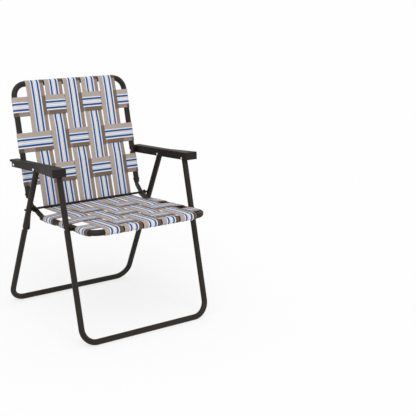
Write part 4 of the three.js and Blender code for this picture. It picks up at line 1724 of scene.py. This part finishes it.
    def build(self) -> None:
        """Makes every strap and its screws."""
        for i in range(self.long_count):
            strap, length = self.long_strap(i)
            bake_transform(strap)
            self.declare(strap, length, ["back_tube", "hinge_rod_bar", "seat_tube"])
            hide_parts(f"back_long_strap_{i + 1}", f"seat_long_strap_{i + 1}")
        for panel in (self.back, self.seat):
            for j in range(len(panel.places)):
                strap, length = self.cross_strap(panel, j)
                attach(strap, panel.body)
                self.declare(strap, length, [f"{panel.body}_tube"])
                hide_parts(f"{panel.body}_cross_strap_{j + 1}")
            self.end_screws(panel)

    def declare(self, strap: bpy.types.Object, length: float, rests_on: list[str]) -> None:
        """Logs a strap's flat size and its number of faces.

        Args:
            strap: The strap.
            length: Its flat length.
            rests_on: The pieces that it lies on. Not used.
        """
        LOG.info("%s: %.0f by %.0f mm, %d faces", strap.name, self.width, length, len(strap.data.polygons))


@dataclass(frozen=True)
class PhotoCamera:
    """The camera at the photograph's viewing angle."""

    place: tuple[float, float, float] = (-1819.1, -2924.75, 1329.47)
    azimuth: float = -37.989
    elevation: float = 15.056
    roll: float = 1.546
    focal_pixels: float = 963.87
    frame_pixels: float = 416.0
    sensor: float = 36.0

    def build(self) -> None:
        """Makes the camera and gives it to the scene."""
        data = bpy.data.cameras.new("photo_camera")
        data.sensor_width = self.sensor
        data.lens = self.focal_pixels / self.frame_pixels * self.sensor
        camera = show("photo_camera", data)
        a = math.radians(self.azimuth)
        e = math.radians(self.elevation)
        back = Vector((math.sin(a) * math.cos(e), -math.cos(a) * math.cos(e), math.sin(e)))
        aim = (-back).to_track_quat("-Z", "Y") @ Quaternion((0, 0, 1), math.radians(self.roll))
        camera.rotation_mode = "QUATERNION"
        camera.rotation_quaternion = aim
        camera.location = Vector(self.place) * MM
        bpy.context.scene.camera = camera


@dataclass(frozen=True)
class Studio:
    """White floor and backdrop, soft light from all round and one broad lamp above, in metres."""

    floor_half: float = 30.0
    floor_colour: Colour = (0.98, 0.98, 0.98, 1.0)
    floor_glow: float = 0.7
    sky_colour: Colour = (1.0, 1.0, 1.0, 1.0)
    ambient: float = 0.68
    key_strength: float = 1.3
    key_spread: float = 60.0
    key_place: tuple[float, float, float] = (-1.6, -2.2, 3.6)
    key_aim: tuple[float, float, float] = (0.0, 0.0, 0.4)

    def seen(self, sketch: NodeSketch) -> bpy.types.NodeSocket:
        """1 where the camera, a reflection or a clear material looks, else 0.

        Args:
            sketch: The sketch that it is drawn on.

        Returns:
            The number's output.
        """
        path = sketch.add("ShaderNodeLightPath", {}).outputs
        seen = sketch.math("MAXIMUM", path["Is Camera Ray"], path["Is Glossy Ray"])
        return sketch.math("MAXIMUM", seen, path["Is Transmission Ray"])

    def build_world(self) -> None:
        """A world that is white to look at and softer as a light."""
        world = bpy.data.worlds.new("studio")
        world.use_nodes = True
        bpy.context.scene.world = world
        sketch = NodeSketch(world.node_tree)
        strength = sketch.math("MULTIPLY_ADD", self.seen(sketch), 1.0 - self.ambient, self.ambient)
        background = world.node_tree.nodes["Background"]
        sketch.feed(background, {"Color": self.sky_colour, "Strength": strength})

    def build_floor(self) -> None:
        """A white floor that keeps the chair's shadow."""
        half = self.floor_half
        mesh = bpy.data.meshes.new("studio_floor")
        corners = [(-half, -half, 0), (half, -half, 0), (half, half, 0), (-half, half, 0)]
        mesh.from_pydata(corners, [], [list(range(len(corners)))])
        floor = show("studio_floor", mesh)
        material, sketch, shader = new_material("studio_floor")
        sketch.tree.nodes.remove(shader)
        matte = sketch.add("ShaderNodeBsdfDiffuse", {"Color": self.floor_colour})
        glow = sketch.add("ShaderNodeEmission", {})
        share = sketch.math("MULTIPLY", self.seen(sketch), self.floor_glow)
        both = sketch.add("ShaderNodeMixShader", {
            "Fac": share,
            sketch.SHADER_A: matte.outputs["BSDF"],
            sketch.SHADER_B: glow.outputs["Emission"],
        })
        sketch.feed(sketch.tree.nodes["Material Output"], {"Surface": both.outputs["Shader"]})
        mesh.materials.append(material)

    def build_key(self) -> None:
        """One broad lamp in front, above and to the left."""
        data = bpy.data.lights.new("key_lamp", "SUN")
        data.energy = self.key_strength
        data.angle = math.radians(self.key_spread)
        lamp = show("key_lamp", data)
        lamp.location = self.key_place
        way = Vector(self.key_aim) - Vector(self.key_place)
        lamp.rotation_mode = "QUATERNION"
        lamp.rotation_quaternion = way.to_track_quat("-Z", "Y")

    def build(self) -> None:
        """Makes the whole set."""
        bpy.context.scene.view_settings.view_transform = "Standard"
        self.build_world()
        self.build_floor()
        self.build_key()


def main() -> None:
    """Builds the chair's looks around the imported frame, in order."""
    logging.basicConfig(level=logging.INFO, format="%(message)s")
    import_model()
    layout = ChairLayout.around_rod(*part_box("hinge_rod"))
    PhotoCamera().build()
    Studio().build()
    materials = Finishes().build()
    tree = FastenerTree().build()
    FrameTubes(layout, materials).build()
    HingeGear(layout, materials).build()
    Armrests(layout, materials).build()
    Rivets(layout, materials, tree).build()
    Webbing(layout, materials, tree).build()


if __name__ == "__main__":
    main()
